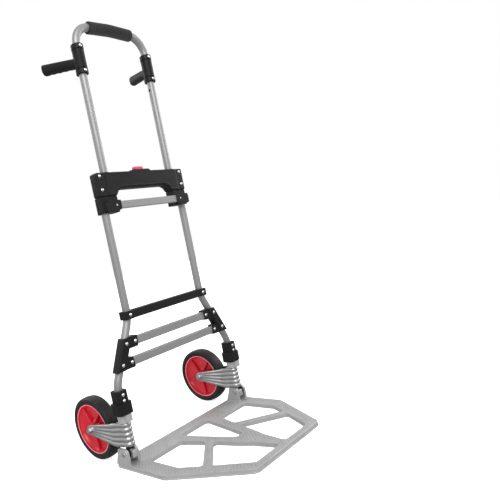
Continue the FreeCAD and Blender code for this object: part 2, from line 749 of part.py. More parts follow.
def make_brackets():
    reach = lean_half_width + bracket_wall
    sleeve = prism([
        (leg_x(bracket_top) - reach, bracket_top),
        (leg_x(bracket_top) + reach, bracket_top),
        (leg_x(bracket_bottom) + reach, bracket_bottom),
        (leg_x(bracket_bottom) - reach, bracket_bottom),
    ], "y", -bracket_half_depth, bracket_half_depth)
    lean = V(leg_x(bracket_bottom) - leg_x(bracket_top), 0, bracket_bottom - bracket_top).normalize()
    sleeve = rounded_edges(sleeve, (lean.x, 0, lean.z), bracket_round)
    pieces = [sleeve]
    half_ear = bracket_ear_height / 2
    for height, edge in ((upper_bar_height, bracket_top), (lower_bar_height, bracket_bottom)):
        tip = leg_x(height) - ear_reach
        far_edge = height - half_ear if edge > height else height + half_ear
        ear = prism([
            (tip, edge),
            (leg_x(edge), edge),
            (leg_x(far_edge), far_edge),
            (tip + ear_slant, far_edge),
        ], "y", -bracket_ear_half_depth, bracket_ear_half_depth)
        pieces.append(rounded_edges(ear, (0, 1, 0), ear_corner, lambda p: p.x < tip + ear_slant + 1))
    bracket = fused(pieces).cut(frame_core)
    for height in (upper_bar_height, lower_bar_height):
        bracket = bracket.cut(crossbar_solid(height, crossbar_half_length(height)))
    bracket = bracket.cut([through_hole(x, z, 30) for x, z in bar_rivets + leg_rivets])
    keep_pair("side_bracket", bracket)
    rivet_group("bracket_leg_rivets", leg_rivets, -bracket_half_depth, bracket_half_depth)
    rivet_group("crossbar_rivets", bar_rivets, -bracket_ear_half_depth, bracket_ear_half_depth)


def make_crossbars():
    for name, height in (("crossbar_upper", upper_bar_height), ("crossbar_lower", lower_bar_height)):
        half_length = crossbar_half_length(height)
        bar = crossbar_solid(height, half_length)
        bar = bar.cut(box(-half_length - 1, half_length + 1, -crossbar_depth / 2 + bar_wall,
                          crossbar_depth / 2 - bar_wall, height - crossbar_height / 2 + bar_wall,
                          height + crossbar_height / 2 - bar_wall))
        holes = [through_hole(side * x, z, 30) for x, z in bar_rivets if z == height for side in (1, -1)]
        keep(name, bar.cut(holes))


# ---- leg sockets, cast collars, snap rings and feet ----------------------------------------
def make_leg_sockets():
    x = leg_half_gauge
    lower = rounded_box(x - socket_half_width, x + socket_half_width, -socket_half_depth,
                        socket_half_depth - socket_back_inset, socket_bottom, socket_step, (0, 0, 1),
                        socket_round)
    front = -socket_half_depth + socket_back_inset
    neck = rounded_box(x - socket_neck_half, x + socket_neck_half, front,
                       socket_neck_half, socket_bottom, socket_top, (0, 0, 1), socket_neck_round)
    socket = fused([lower, neck]).cut(frame_core)
    socket = socket.cut([through_hole(x_r, z, 30) for x_r, z in socket_rivets])
    keep_pair("leg_socket", socket)
    rivet_group("socket_rivets", socket_rivets, front, socket_neck_half)


def make_cast_collars():
    x = leg_half_gauge
    ring = rod((x, 0, hub_top + face_gap), (x, 0, socket_bottom), collar_radius)
    lug = rounded_box(x - collar_lug_half_width, x + collar_lug_half_width, -collar_lug_reach, 0,
                      socket_bottom - collar_lug_height, socket_bottom, (0, 0, 1), collar_lug_round)
    keep_pair("cast_collar", fused([ring, lug]).cut(frame_core))


def make_snap_rings():
    x = leg_half_gauge
    outer = rod((x, 0, snap_ring_height), (x, 0, snap_ring_height + snap_ring_thickness),
                tube_radius + snap_ring_width)
    ring = outer.cut(rod((x, 0, 0), (x, 0, hub_top), tube_radius))
    half = snap_ring_split / 2
    gap = box(x - half, x + half, 0, 2 * tube_radius, snap_ring_height - beyond,
              snap_ring_height + snap_ring_thickness + beyond)
    ring = ring.cut(gap)
    keep("snap_rings", Part.Compound([ring, mirrored(ring)]))


def make_leg_feet():
    """A cast plug in the tube's end, a neck through the fork gear and a tongue round the pin."""
    x = leg_half_gauge
    plug = rod((x, 0, tube_foot), (x, 0, tube_foot + foot_plug_length), tube_radius - tube_wall)
    neck = rod((x, 0, tongue_top - 4), (x, 0, tube_foot + 1), neck_radius)
    tongue = box(x - tongue_half_width, x + tongue_half_width, -tongue_half_depth, tongue_half_depth,
                 tongue_bottom, tongue_top)
    tongue = rounded_edges(tongue, (1, 0, 0), tongue_round)
    foot = fused([plug, neck, tongue])
    bore = rod((0, 0, pin_height), (2 * x, 0, pin_height), hinge_pin_radius + running_gap)
    keep_pair("leg_foot", foot.cut(bore))


# ---- bevel gears that turn the forks as the plate folds ------------------------------------
def bevel_tooth():
    """One straight tooth, centred on the XZ plane; the gear's axis is +Z, its apex the origin."""
    half_pitch_width = math.pi * gear_pitch_radius / gear_teeth / 2 - gear_backlash / 4
    flank = math.tan(math.radians(gear_flank_angle))
    pitch_point = V(gear_pitch_radius, 0, gear_pitch_radius)
    outwards = V(1, 0, -1).normalize()
    outer = []
    foot = -gear_dedendum - tooth_overlap
    for height, sign in ((foot, -1), (gear_addendum, -1), (gear_addendum, 1), (foot, 1)):
        half_width = half_pitch_width - height * flank
        outer.append(pitch_point + outwards * height + V(0, sign * half_width, 0))
    inner = [p * gear_inner_share for p in outer]
    wires = [Part.makePolygon(ring + ring[:1]) for ring in (inner, outer)]
    return Part.makeLoft(wires, True, True)


def bevel_gear(back, flange, sector=None, phase=0.0):
    """A bevel gear with its root cone, a flat back and a bore; a sector keeps part of it."""
    outwards = V(1, 0, -1).normalize()
    root = V(gear_pitch_radius, 0, gear_pitch_radius) - outwards * gear_dedendum
    root_in = root * gear_inner_share
    profile = [V(gear_bore, 0, back), V(flange, 0, back), V(flange, 0, root.z + tooth_overlap),
               root, root_in, V(gear_bore, 0, root_in.z + gear_face_slope)]
    if root_in.x < gear_bore:
        profile[4] = root * (gear_bore / root.x)
        profile.pop()
    face = Part.Face(Part.makePolygon(profile + profile[:1]))
    start, end = sector if sector else (0.0, 360.0)
    if sector:
        face.rotate(V(0, 0, 0), V(0, 0, 1), start)
    body = face.revolve(V(0, 0, 0), V(0, 0, 1), end - start)
    pieces = [body]
    step = 360.0 / gear_teeth
    for i in range(-gear_teeth, gear_teeth):
        angle = phase + i * step
        inside = start + step / 3 <= angle <= end - step / 3 if sector else 0 <= angle < 359.9
        if inside:
            tooth = bevel_tooth()
            tooth.rotate(V(0, 0, 0), V(0, 0, 1), angle)
            pieces.append(tooth)
    gear = fused(pieces)
    return gear.cut(Part.makeCylinder(gear_bore, 60, V(0, 0, -30)))


def make_gears():
    """The fork gear hangs under the hub; the plate gear sits against the outer ear."""
    apex = V(leg_half_gauge, 0, pin_height)
    fork_gear = bevel_gear(hub_bottom - pin_height, fork_gear_flange, sector=gear_sector)
    fork_gear.translate(apex)
    keep_pair("fork_gear", fork_gear)
    plate_gear = bevel_gear(outer_ear[0], plate_gear_flange, phase=180.0 / gear_teeth)
    plate_gear = fused([plate_gear, hinge_bush()])
    plate_gear.rotate(V(0, 0, 0), V(0, 1, 0), 90)
    plate_gear.translate(apex)
    keep_pair("plate_gear", plate_gear)


def hinge_bush():
    """Hub of the plate gear that grips the hinge pin."""
    low = tongue_half_width + face_gap
    outer = Part.makeCylinder(gear_bore + 0.2, outer_ear[0] - low, V(0, 0, low))
    return outer.cut(Part.makeCylinder(hinge_pin_radius, 60, V(0, 0, -30)))


# ---- toe plate -----------------------------------------------------------------------------
side_slope = (plate_half_width - plate_front_half) / (plate_front - plate_straight)


def plate_polygon(points, low, high):
    """A closed outline given as half width and distance ahead of the hinge pin."""
    return prism([(x, -ahead) for x, ahead in points], "z", low, high)


def both_sides(half):
    return half + [(-x, ahead) for x, ahead in reversed(half)]


def frame_inner_x(ahead):
    """Inner edge of the plate's slanting side bar."""
    start = plate_half_width - side_bar_width * math.sqrt(1 + side_slope ** 2)
    return start - (ahead - plate_straight) * side_slope


def plate_openings():
    """Two rear side windows, two front windows and the central arch."""
    front_edge = plate_front - front_bar_width
    side_x = plate_half_width - side_rail_width
    rear = [(86, 34), (side_x, 34), (side_x, 138), (frame_inner_x(190), 190), (62, 103)]
    front = [(55, 123), (frame_inner_x(208), 208), (frame_inner_x(front_edge), front_edge),
             (12, front_edge), (24, 225), (37, 190)]
    arch = [(57, 6), (31.5, 105), (14, 168)]
    shapes = []
    for points in (rear, front):
        window = plate_polygon(points, -1, plate_thickness + 1)
        window = rounded_edges(window, (0, 0, 1), opening_corner_radius)
        shapes += [window, mirrored(window)]
    middle = plate_polygon(both_sides(arch), -1, plate_thickness + 1)
    tops = rounded_edges(middle, (0, 0, 1), arch_corner_radius, lambda p: p.y < -150)
    shapes.append(rounded_edges(tops, (0, 0, 1), opening_corner_radius, lambda p: p.y > -20))
    return shapes


def ear_solid(low, high):
    """A hinge ear: round in front of the pin, square behind it, with a sloping back."""
    z = pin_height
    quarter = rod((low, 0, z), (high, 0, z), ear_round)
    top = ear_round - 0.5
    block = prism([
        (-ear_round, plate_thickness - 2),
        (-ear_round, z),
        (0, z + top),
        (ear_back, z + top),
        (ear_back + 3, z),
        (ear_foot, plate_thickness + 2),
        (ear_foot, plate_thickness - 2),
    ], "x", low, high)
    block = rounded_edges(block, (1, 0, 0), ear_back_round,
                          lambda p: p.y > ear_back / 2 and p.z > plate_thickness + 5)
    return fused([block, quarter])


def make_toe_plate():
    outline = both_sides([
        (plate_half_width, -plate_back),
        (plate_half_width, plate_straight),
        (plate_front_half, plate_front),
    ])
    plate = plate_polygon(outline, 0, plate_thickness)
    plate = rounded_edges(plate, (0, 0, 1), plate_corner_radius, lambda p: p.y < -plate_straight - 50)
    plate = rounded_edges(plate, (0, 0, 1), plate_rear_radius, lambda p: p.y > 0)
    plate = rounded_edges(plate, (0, 0, 1), plate_side_radius, lambda p: abs(p.y + plate_straight) < 1)
    plate = plate.cut(plate_openings())
    underside = plate.slice(V(0, 0, 1), 1.0)
    base = Part.Face(sorted(underside, key=lambda w: -w.BoundBox.DiagonalLength), "Part::FaceMakerBullseye")
    hollow = base.makeOffset2D(-plate_wall, 0, False, False, False)
    hollow.translate(V(0, 0, -2))
    plate = plate.cut(hollow.extrude(V(0, 0, plate_thickness - plate_skin + 1)))
    ears = []
    for side in (1, -1):
        for faces in (inner_ear, outer_ear):
            low, high = sorted(side * (leg_half_gauge + face) for face in faces)
            ears.append(ear_solid(low, high))
            ears.append(box(low, high, -ear_round, ear_foot - 3, 1, plate_thickness))
    plate = fused([plate] + ears)
    reach = leg_half_gauge + outer_ear[1] + 5
    plate = plate.cut(rod((-reach, 0, pin_height), (reach, 0, pin_height), hinge_pin_radius))
    keep("toe_plate", plate)


def make_hinge_pins():
    low = leg_half_gauge + inner_ear[0]
    high = leg_half_gauge + outer_ear[1]
    shank = rod((low - pin_end, 0, pin_height), (high, 0, pin_height), hinge_pin_radius)
    head = rod((high, 0, pin_height), (high + pin_head_height, 0, pin_height), pin_head_radius)
    head = head.makeFillet(1.0, [head.Edges[i] for i in (0, 2)
                                 if head.Edges[i].CenterOfMass.x > high + 1])
    keep_pair("hinge_pin", fused([shank, head]))
    clip = rod((low - clip_thickness, 0, pin_height), (low, 0, pin_height), pin_head_radius + 1)
    clip = clip.cut(shank)
    keep("pin_clips", Part.Compound([clip, mirrored(clip)]))


# ---- fork ----------------------------------------------------------------------------------
def fork_plan(grow, low, high):
    """The fork seen from above, round the hub and out to both arms, grown by a margin."""
    x = leg_half_gauge
    width = arm_outer + grow
    narrow = hub_radius + grow
    body = prism([
        (x - narrow, 0),
        (x - width, flare_length),
        (x - width, arm_back + 2),
        (x + width, arm_back + 2),
        (x + width, flare_length),
        (x + narrow, 0),
    ], "z", low, high)
    hub = rod((x, 0, low), (x, 0, high), narrow)
    return fused([body, hub])


def fork_side(low_x, high_x):
    """The arm's side view: tall at the hub, tapering to a round end at the axle."""
    taper = prism([
        (-hub_radius - 5, hub_bottom),
        (hub_radius + 6, hub_bottom),
        (fork_reach + 3, axle_height - arm_end_radius + 0.4),
        (fork_reach + 3, axle_height + arm_end_radius - 0.4),
        (hub_radius + 6, hub_top),
        (-hub_radius - 5, hub_top),
    ], "x", low_x, high_x)
    end = rod((low_x, fork_reach, axle_height), (high_x, fork_reach, axle_height), arm_end_radius)
    return fused([taper, end])


def fork_rib(index):
    """A raised rib round the hub that runs on along the arms and closes in on the axle."""
    share = (index + 0.5) / rib_count
    root = hub_bottom + share * (hub_top - hub_bottom)
    tip = axle_height + (share - 0.5) * arm_end_radius
    half = rib_height / 2
    strip = [
        (-hub_radius - 5, root - half),
        (hub_radius + 2, root - half),
        (fork_reach - rib_stop, tip - half / 2),
        (fork_reach - rib_stop, tip + half / 2),
        (hub_radius + 2, root + half),
        (-hub_radius - 5, root + half),
    ]
    x = leg_half_gauge
    return prism(strip, "x", x - 40, x + 40)


def wheel_space():
    x = leg_half_gauge
    half = arm_inner
    slot = box(x - half, x + half, hub_wall_behind, arm_back + 10, hub_bottom - 5, hub_top + 5)
    return rounded_edges(slot, (0, 0, 1), wheel_space_round, lambda p: p.y < hub_wall_behind + 1)


def make_forks():
    x = leg_half_gauge
    plan = fork_plan(0, hub_bottom, hub_top)
    body = plan.common(fork_side(x - 40, x + 40))
    ribs = fused([fork_rib(i) for i in range(rib_count)])
    ribs = ribs.common(fork_plan(rib_proud, hub_bottom, hub_top))
    fork = fused([body, ribs])
    fork = fork.cut(wheel_space())
    fork = fork.cut(rod((x, 0, hub_bottom - 1), (x, 0, hub_top + 1), tube_radius + slide_gap))
    groove_low = snap_ring_height - slide_gap
    groove_high = snap_ring_height + snap_ring_thickness + slide_gap
    fork = fork.cut(rod((x, 0, groove_low), (x, 0, groove_high),
                        tube_radius + snap_ring_width + slide_gap))
    bore = rod((x - 40, fork_reach, axle_height), (x + 40, fork_reach, axle_height), axle_radius)
    keep_pair("fork", fork.cut(bore))


def hexagon(low_x, high_x):
    """A hexagonal head round the axle's axis."""
    across_corners = hex_across_flats / math.cos(math.radians(30))
    points = []
    for i in range(6):
        angle = math.radians(60 * i)
        points.append((fork_reach + across_corners / 2 * math.cos(angle),
                       axle_height + across_corners / 2 * math.sin(angle)))
    return prism(points, "x", low_x, high_x)


def axle_rod(low_x, high_x, radius):
    return rod((low_x, fork_reach, axle_height), (high_x, fork_reach, axle_height), radius)


def make_axles():
    x = leg_half_gauge
    outer = x + arm_outer + washer_thickness
    inner = x - arm_outer - washer_thickness
    shank = axle_rod(inner - hex_height - 1, outer, axle_radius)
    keep_pair("axle_bolt", fused([shank, hexagon(outer, outer + hex_height)]))
    keep_pair("axle_nut", hexagon(inner - hex_height, inner).cut(shank))
    washers = [axle_rod(outer - washer_thickness, outer, washer_radius).cut(shank),
               axle_rod(inner, inner + washer_thickness, washer_radius).cut(shank)]
    keep_pair("axle_washers", Part.Compound(washers))


# ---- wheel ---------------------------------------------------------------------------------
def revolved(points):
    """Turn a profile of (offset along the axle, radius) round the axle's axis."""
    corners = [V(leg_half_gauge + along, fork_reach, axle_height + radius) for along, radius in points]
    face = Part.Face(Part.makePolygon(corners + corners[:1]))
    return face.revolve(V(leg_half_gauge, fork_reach, axle_height), V(1, 0, 0), 360)


def make_wheels():
    hub_half = arm_inner - face_gap
    w = rim_half_width
    inner = rim_radius - rim_barrel
    rim = revolved([
        (-hub_half, bush_radius), (-hub_half, rim_hub_radius), (-rim_web / 2, rim_hub_radius + 2),
        (-rim_web / 2, inner - 2), (-w + 1.5, inner), (-w, inner), (-w, rim_radius),
        (w, rim_radius), (w, inner), (w - 1.5, inner), (rim_web / 2, inner - 2),
        (rim_web / 2, rim_hub_radius + 2), (hub_half, rim_hub_radius), (hub_half, bush_radius),
    ])
    spokes = []
    for i in range(spoke_count):
        spoke = prism([(-hub_half + 3, rim_hub_radius - 2), (hub_half - 3, rim_hub_radius - 2),
                       (w - 5, inner + 1), (-w + 5, inner + 1)], "y",
                      -spoke_thickness / 2, spoke_thickness / 2)
        spoke.translate(V(leg_half_gauge, fork_reach, axle_height))
        spoke.rotate(V(leg_half_gauge, fork_reach, axle_height), V(1, 0, 0), 360 / spoke_count * i + 180)
        spokes.append(spoke)
    rim = fused([rim] + spokes)
    keep_pair("wheel_rim", rim)
    half = tyre_width / 2
    edge = tyre_shoulder
    tyre = revolved([
        (-w, rim_radius), (-half + 1, rim_radius + 1), (-half, rim_radius + 5),
        (-half, wheel_radius - edge), (-half + 2, wheel_radius - 2.4), (-half + edge, wheel_radius),
        (half - edge, wheel_radius), (half - 2, wheel_radius - 2.4), (half, wheel_radius - edge),
        (half, rim_radius + 5), (half - 1, rim_radius + 1), (w, rim_radius),
    ])
    keep_pair("tyre", tyre)
    bush = revolved([(-hub_half, axle_radius + running_gap), (-hub_half, bush_radius),
                     (hub_half, bush_radius), (hub_half, axle_radius + running_gap)])
    keep_pair("wheel_bush", bush)


def main():
    make_frame_tubes()
    make_bridge()
    make_button()
    make_lock_rods()
    make_handle_tube()
    make_foam_grip()
    make_grip_rings()
    make_side_grips()
    make_slide_blocks()
    make_strap_crossbar()
    make_brackets()
    make_crossbars()
    make_leg_sockets()
    make_cast_collars()
    make_snap_rings()
    make_leg_feet()
    make_gears()
    make_toe_plate()
    make_hinge_pins()
    make_forks()
    make_axles()
    make_wheels()
    os.makedirs("parts", exist_ok=True)
    for name, shape in NODES.items():
        shape.translate(V(0, origin_shift, 0))
        shape.exportStep(os.path.join("parts", name + ".step"))
        state = "valid" if shape.isValid() else "INVALID"
        print(name, state, len(shape.Solids), round(shape.Volume / 1000, 2))


main()
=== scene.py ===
"""Folding hand truck: the looks of its pieces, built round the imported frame.

Lengths in the code are in metres.  +Z is up and -Y is the way the toe plate points.
"""
import json
from math import pi, radians

import bmesh
import bpy
import numpy as np
from bpy.props import FloatProperty, FloatVectorProperty, IntProperty, PointerProperty
from mathutils import Euler, Matrix, Vector


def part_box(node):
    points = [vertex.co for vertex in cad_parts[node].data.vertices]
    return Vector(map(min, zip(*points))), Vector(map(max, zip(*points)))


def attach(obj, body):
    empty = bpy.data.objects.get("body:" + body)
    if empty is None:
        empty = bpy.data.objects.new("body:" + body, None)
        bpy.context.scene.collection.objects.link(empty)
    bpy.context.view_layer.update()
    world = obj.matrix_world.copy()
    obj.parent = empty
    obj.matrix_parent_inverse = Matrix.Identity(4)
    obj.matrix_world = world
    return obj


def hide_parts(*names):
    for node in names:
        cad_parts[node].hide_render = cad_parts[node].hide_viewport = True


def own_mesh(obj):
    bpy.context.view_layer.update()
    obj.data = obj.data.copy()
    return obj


bl_info = {
    "name": "Folding hand truck",
    "version": (1, 0, 0),
    "blender": (4, 5, 0),
    "location": "View3D > Sidebar > Hand truck",
    "description": "Builds the visible pieces of a folding hand truck round its frame",
    "category": "Object",
}

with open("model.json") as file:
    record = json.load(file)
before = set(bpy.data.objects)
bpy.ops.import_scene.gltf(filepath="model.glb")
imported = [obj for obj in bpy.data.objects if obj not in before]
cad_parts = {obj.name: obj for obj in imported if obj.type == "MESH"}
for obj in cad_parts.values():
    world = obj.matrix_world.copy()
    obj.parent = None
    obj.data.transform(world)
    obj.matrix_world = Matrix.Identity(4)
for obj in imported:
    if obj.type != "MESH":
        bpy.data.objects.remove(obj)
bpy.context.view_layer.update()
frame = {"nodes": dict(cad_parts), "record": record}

SIDES = (("left", 1.0), ("right", -1.0))
MM = 0.001


def middle(node):
    """Centre of a node's box."""
    low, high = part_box(node)
    return np.array((low + high) / 2)


def low_and_high(node):
    """Both corners of a node's box, as arrays."""
    low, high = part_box(node)
    return np.array(low), np.array(high)


TUBE_PLANE = float(middle("handle_tube")[1])
LEG = abs(float(middle("cast_collar_left")[0]))
HANDLE_LOW, HANDLE_HIGH = low_and_high("handle_tube")
TUBE_RADIUS = float(HANDLE_HIGH[1] - HANDLE_LOW[1]) / 2
HANDLE_X = float(HANDLE_HIGH[0]) - TUBE_RADIUS


# ---- surfaces ------------------------------------------------------------------------------
def skin(name, points, loop_rows=False, loop_columns=True):
    """A quad mesh from grids of points: the last three axes are row, column and xyz.

    Neighbouring points in the grid make a face, and a looped direction joins its end to its
    start.  Points that fall together become one, so a row drawn to a point closes the surface.
    """
    points = np.asarray(points, float)
    rows, columns = points.shape[-3:-1]
    flat = points.reshape(-1, 3)
    grids = len(flat) // (rows * columns)
    index = np.arange(grids * rows * columns).reshape(grids, rows, columns)
    if loop_rows:
        index = np.concatenate([index, index[:, :1]], 1)
    if loop_columns:
        index = np.concatenate([index, index[:, :, :1]], 2)
    quads = np.stack([index[:, :-1, :-1], index[:, 1:, :-1], index[:, 1:, 1:], index[:, :-1, 1:]], -1)
    mesh = bpy.data.meshes.new(name)
    mesh.from_pydata(flat.tolist(), [], quads.reshape(-1, 4).tolist())
    work = bmesh.new()
    work.from_mesh(mesh)
    bmesh.ops.remove_doubles(work, verts=work.verts, dist=2e-6)
    bmesh.ops.dissolve_degenerate(work, edges=work.edges, dist=1e-7)
    bmesh.ops.recalc_face_normals(work, faces=work.faces)
    work.to_mesh(mesh)
    work.free()
    return mesh


def piece(mesh, body, finish, crease=40.0, stands_for=()):
    """An object at the origin that rides on a body, with one finish and creased hard edges."""
    mesh.polygons.foreach_set("use_smooth", np.ones(len(mesh.polygons), bool))
    mesh.set_sharp_from_angle(angle=radians(crease))
    made = bpy.data.objects.new(mesh.name, mesh)
    bpy.context.scene.collection.objects.link(made)
    mesh.materials.append(finish)
    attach(made, body)
    if stands_for:
        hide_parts(*stands_for)
    return made


def rounded_path(corners, radii, steps=7, closed=True):
    """Corners joined by straight runs, each corner replaced by a curve of a given radius.

    A corner's curve is the quadratic blend (1-t)^2 A + 2t(1-t) P + t^2 B between the two points
    A and B where an arc of that radius would touch the runs.
    """
    corners = np.asarray(corners, float)
    before = np.roll(corners, 1, 0)
    after = np.roll(corners, -1, 0)
    into = corners - before
    away = after - corners
    if not closed:
        into[0], away[-1] = away[0], into[-1]
    into /= np.linalg.norm(into, axis=1)[:, None]
    away /= np.linalg.norm(away, axis=1)[:, None]
    turn = np.arccos(np.clip((into * away).sum(1), -1, 1))
    cut = (np.broadcast_to(radii, len(corners)) * np.tan(turn / 2))[:, None]
    t = np.linspace(0, 1, steps)[None, :, None]
    start = (corners - into * cut)[:, None]
    end = (corners + away * cut)[:, None]
    curve = (1 - t) ** 2 * start + 2 * t * (1 - t) * corners[:, None] + t ** 2 * end
    flat = curve.reshape(-1, corners.shape[1])
    keep = np.ones(len(flat), bool)
    keep[1:] = np.linalg.norm(np.diff(flat, axis=0), axis=1) > 1e-7
    if closed and np.linalg.norm(flat[0] - flat[-1]) < 1e-7:
        keep[-1] = False
    return flat[keep]


def resampled(path, spacing, closed=True):
    """The same path with points at an even spacing along its length."""
    line = np.concatenate([path, path[:1]]) if closed else path
    length = np.concatenate([[0], np.cumsum(np.linalg.norm(np.diff(line, axis=0), axis=1))])
    count = max(8, int(round(length[-1] / spacing)))
    at = np.linspace(0, length[-1], count, endpoint=not closed)
    return np.stack([np.interp(at, length, line[:, i]) for i in range(line.shape[1])], 1)


def turned(profile, centre, steps=96):
    """A closed profile of (along the axle, radius) turned round an X axis through a centre.

    Each point becomes a circle: y = radius cos(angle), z = radius sin(angle).
    """
    angle = np.linspace(0, 2 * pi, steps, endpoint=False)
    along, radius = np.asarray(profile).T
    x = np.broadcast_to(along[:, None], (len(along), steps))
    y = radius[:, None] * np.cos(angle)
    z = radius[:, None] * np.sin(angle)
    return np.stack([x, y, z], -1) + np.asarray(centre)


def turned_upright(profile, centre, steps=64):
    """A closed profile of (radius, height) turned round a vertical axis through a centre."""
    grid = turned(np.asarray(profile)[:, ::-1], (0, 0, 0), steps)
    return grid[..., [1, 2, 0]] + np.asarray(centre)


def round_section(count, power=2.0):
    """Points of a unit superellipse: |a|^p + |b|^p = 1."""
    t = np.linspace(0, 2 * pi, count, endpoint=False)
    c, s = np.cos(t), np.sin(t)
    return np.stack([np.sign(c) * np.abs(c) ** (2 / power), np.sign(s) * np.abs(s) ** (2 / power)], 1)


def capped(rows):
    """The same rows with a first and last row drawn together at their own middles."""
    first = np.broadcast_to(rows[:1].mean(1, keepdims=True), rows[:1].shape)
    last = np.broadcast_to(rows[-1:].mean(1, keepdims=True), rows[-1:].shape)
    return np.concatenate([first, rows, last])


def bead(path, radius, flatten=1.0, sides=10, closed=True):
    """A round bar along a level path; its height is a share of its width.

    Each path point p gives p + radius (cos a * level normal + flatten sin a * up).
    """
    ahead = np.roll(path, -1, 0) - np.roll(path, 1, 0)
    if not closed:
        ahead[0], ahead[-1] = path[1] - path[0], path[-1] - path[-2]
    ahead /= np.linalg.norm(ahead, axis=1)[:, None]
    across = np.cross(ahead, (0, 0, 1.0))
    across /= np.linalg.norm(across, axis=1)[:, None]
    up = np.cross(across, ahead)
    a = np.linspace(0, 2 * pi, sides, endpoint=False)[None, :, None]
    rows = path[:, None] + radius * (np.cos(a) * across[:, None] + flatten * np.sin(a) * up[:, None])
    return rows if closed else capped(rows)


def hollow_wave(value, seed, waves=5):
    """A smooth, repeatable wander between -1 and 1 along an array of values."""
    rng = np.random.default_rng(seed)
    size = rng.uniform(0.4, 1.0, waves)
    rate = rng.uniform(0.6, 3.2, waves)
    start = rng.uniform(0, 2 * pi, waves)
    return (size * np.sin(value[..., None] * rate + start)).sum(-1) / size.sum()


# ---- finishes ------------------------------------------------------------------------------
class Finish:
    """A node material put together in steps, on the object's own coordinates."""

    def __init__(self, name, colour, roughness, metallic=0.0, **sockets):
        self.material = bpy.data.materials.new(name)
        self.material.use_nodes = True
        self.tree = self.material.node_tree
        self.shader = self.tree.nodes["Principled BSDF"]
        self.colour = tuple(colour)
        self.roughness = roughness
        self.shader.inputs["Metallic"].default_value = metallic
        for socket, value in sockets.items():
            self.shader.inputs[socket.replace("_", " ")].default_value = value
        self.base = None
        self.normal = None

    def node(self, kind, links=(), **values):
        """Add a shader node, set its values and link its inputs to their sources."""
        made = self.tree.nodes.new("ShaderNode" + kind)
        for key, value in values.items():
            if key in made.inputs:
                made.inputs[key].default_value = value
            else:
                setattr(made, key, value)
        for target, source in links:
            self.tree.links.new(source, made.inputs[target])
        return made

    def place(self, stretch=(1, 1, 1), turn=(0, 0, 0)):
        """Object coordinates, stretched and turned."""
        coordinates = self.node("TexCoord")
        mapping = self.node("Mapping", [("Vector", coordinates.outputs["Object"])])
        mapping.inputs["Scale"].default_value = stretch
        mapping.inputs["Rotation"].default_value = turn
        return mapping.outputs["Vector"]

    def noise(self, scale, detail=3.0, stretch=(1, 1, 1), rough=0.55):
        """Smooth noise between 0 and 1 on the object's own coordinates."""
        made = self.node("TexNoise", [("Vector", self.place(stretch))], Scale=scale, Detail=detail,
                         Roughness=rough)
        return made.outputs["Fac"]

    def stretched(self, source, low, high, new_low=0.0, new_high=1.0):
        """Carry the range from low to high over to the new one."""
        made = self.node("MapRange", [("Value", source)])
        keys = ("From Min", "From Max", "To Min", "To Max")
        for key, value in zip(keys, (low, high, new_low, new_high)):
            made.inputs[key].default_value = value
        return made.outputs["Result"]

    def tint(self, share, colour, strength=1.0):
        """Lay a colour over the base where a mask is high."""
        mix = self.node("Mix", data_type="RGBA")
        sockets = [s for s in mix.inputs if s.type == "RGBA"]
        if self.base is None:
            sockets[0].default_value = (*self.colour, 1)
        else:
            self.tree.links.new(self.base, sockets[0])
        sockets[1].default_value = (*colour, 1)
        factor = self.stretched(share, 0.0, 1.0, 0.0, strength)
        self.tree.links.new(factor, mix.inputs[0])
        self.base = [s for s in mix.outputs if s.type == "RGBA"][0]
        return self

    def mottle(self, scale, spread, stretch=(1, 1, 1), detail=3.0):
        """Vary the colour between darker and lighter shades of itself."""
        share = self.stretched(self.noise(scale, detail, stretch), 0.3, 0.7)
        darker = [c * (1 - spread) for c in self.colour]
        self.colour = tuple(min(1.0, c * (1 + spread)) for c in self.colour)
        return self.tint(share, darker)

    def gloss(self, scale, spread, stretch=(1, 1, 1)):
        """Vary the roughness round its value."""
        low, high = self.roughness - spread, self.roughness + spread
        result = self.stretched(self.noise(scale, 4.0, stretch), 0.3, 0.7, low, high)
        self.tree.links.new(result, self.shader.inputs["Roughness"])
        return self

    def soft_edges(self, radius, worn_and_highlit=None, strength=0.6):
        """Round the look of hard edges, and tint them lighter: partly edge wear, partly a painted highlight
        along the edges.
        """
        edge = self.node("Bevel", samples=4, Radius=radius)
        self.normal = edge.outputs["Normal"]
        if worn_and_highlit is not None:
            # painted highlight: edges are tinted lighter, partly as wear and partly for the light they catch
            facing = self.node("NewGeometry")
            match = self.node("VectorMath", operation="DOT_PRODUCT")
            self.tree.links.new(self.normal, match.inputs[0])
            self.tree.links.new(facing.outputs["Normal"], match.inputs[1])
            share = self.stretched(match.outputs["Value"], 0.995, 0.86)
            self.tint(share, worn_and_highlit, strength)
        return self

    def grain(self, source, height, strength=0.5):
        """Raise the surface by a texture."""
        made = self.node("Bump", [("Height", source)], Strength=strength, Distance=height)
        if self.normal is not None:
            self.tree.links.new(self.normal, made.inputs["Normal"])
        self.normal = made.outputs["Normal"]
        return self

    def done(self):
        """Join the last colour, roughness and surface direction to the shader."""
        if self.base is None:
            self.shader.inputs["Base Color"].default_value = (*self.colour, 1)
        else:
            self.tree.links.new(self.base, self.shader.inputs["Base Color"])
        if not self.shader.inputs["Roughness"].is_linked:
            self.shader.inputs["Roughness"].default_value = self.roughness
        if self.normal is not None:
            self.tree.links.new(self.normal, self.shader.inputs["Normal"])
        return self.material


def drawn_tube(colour):
    """Satin tube with fine lines along its length and faint handling marks."""
    f = Finish("drawn_tube", colour, 0.5, 0.8)
    f.mottle(9.0, 0.06, (1, 1, 0.2)).gloss(60.0, 0.06, (1, 1, 0.05))
    f.grain(f.noise(900.0, 2.0, (1, 1, 0.02)), 0.00008, 0.35)
    return f.done()


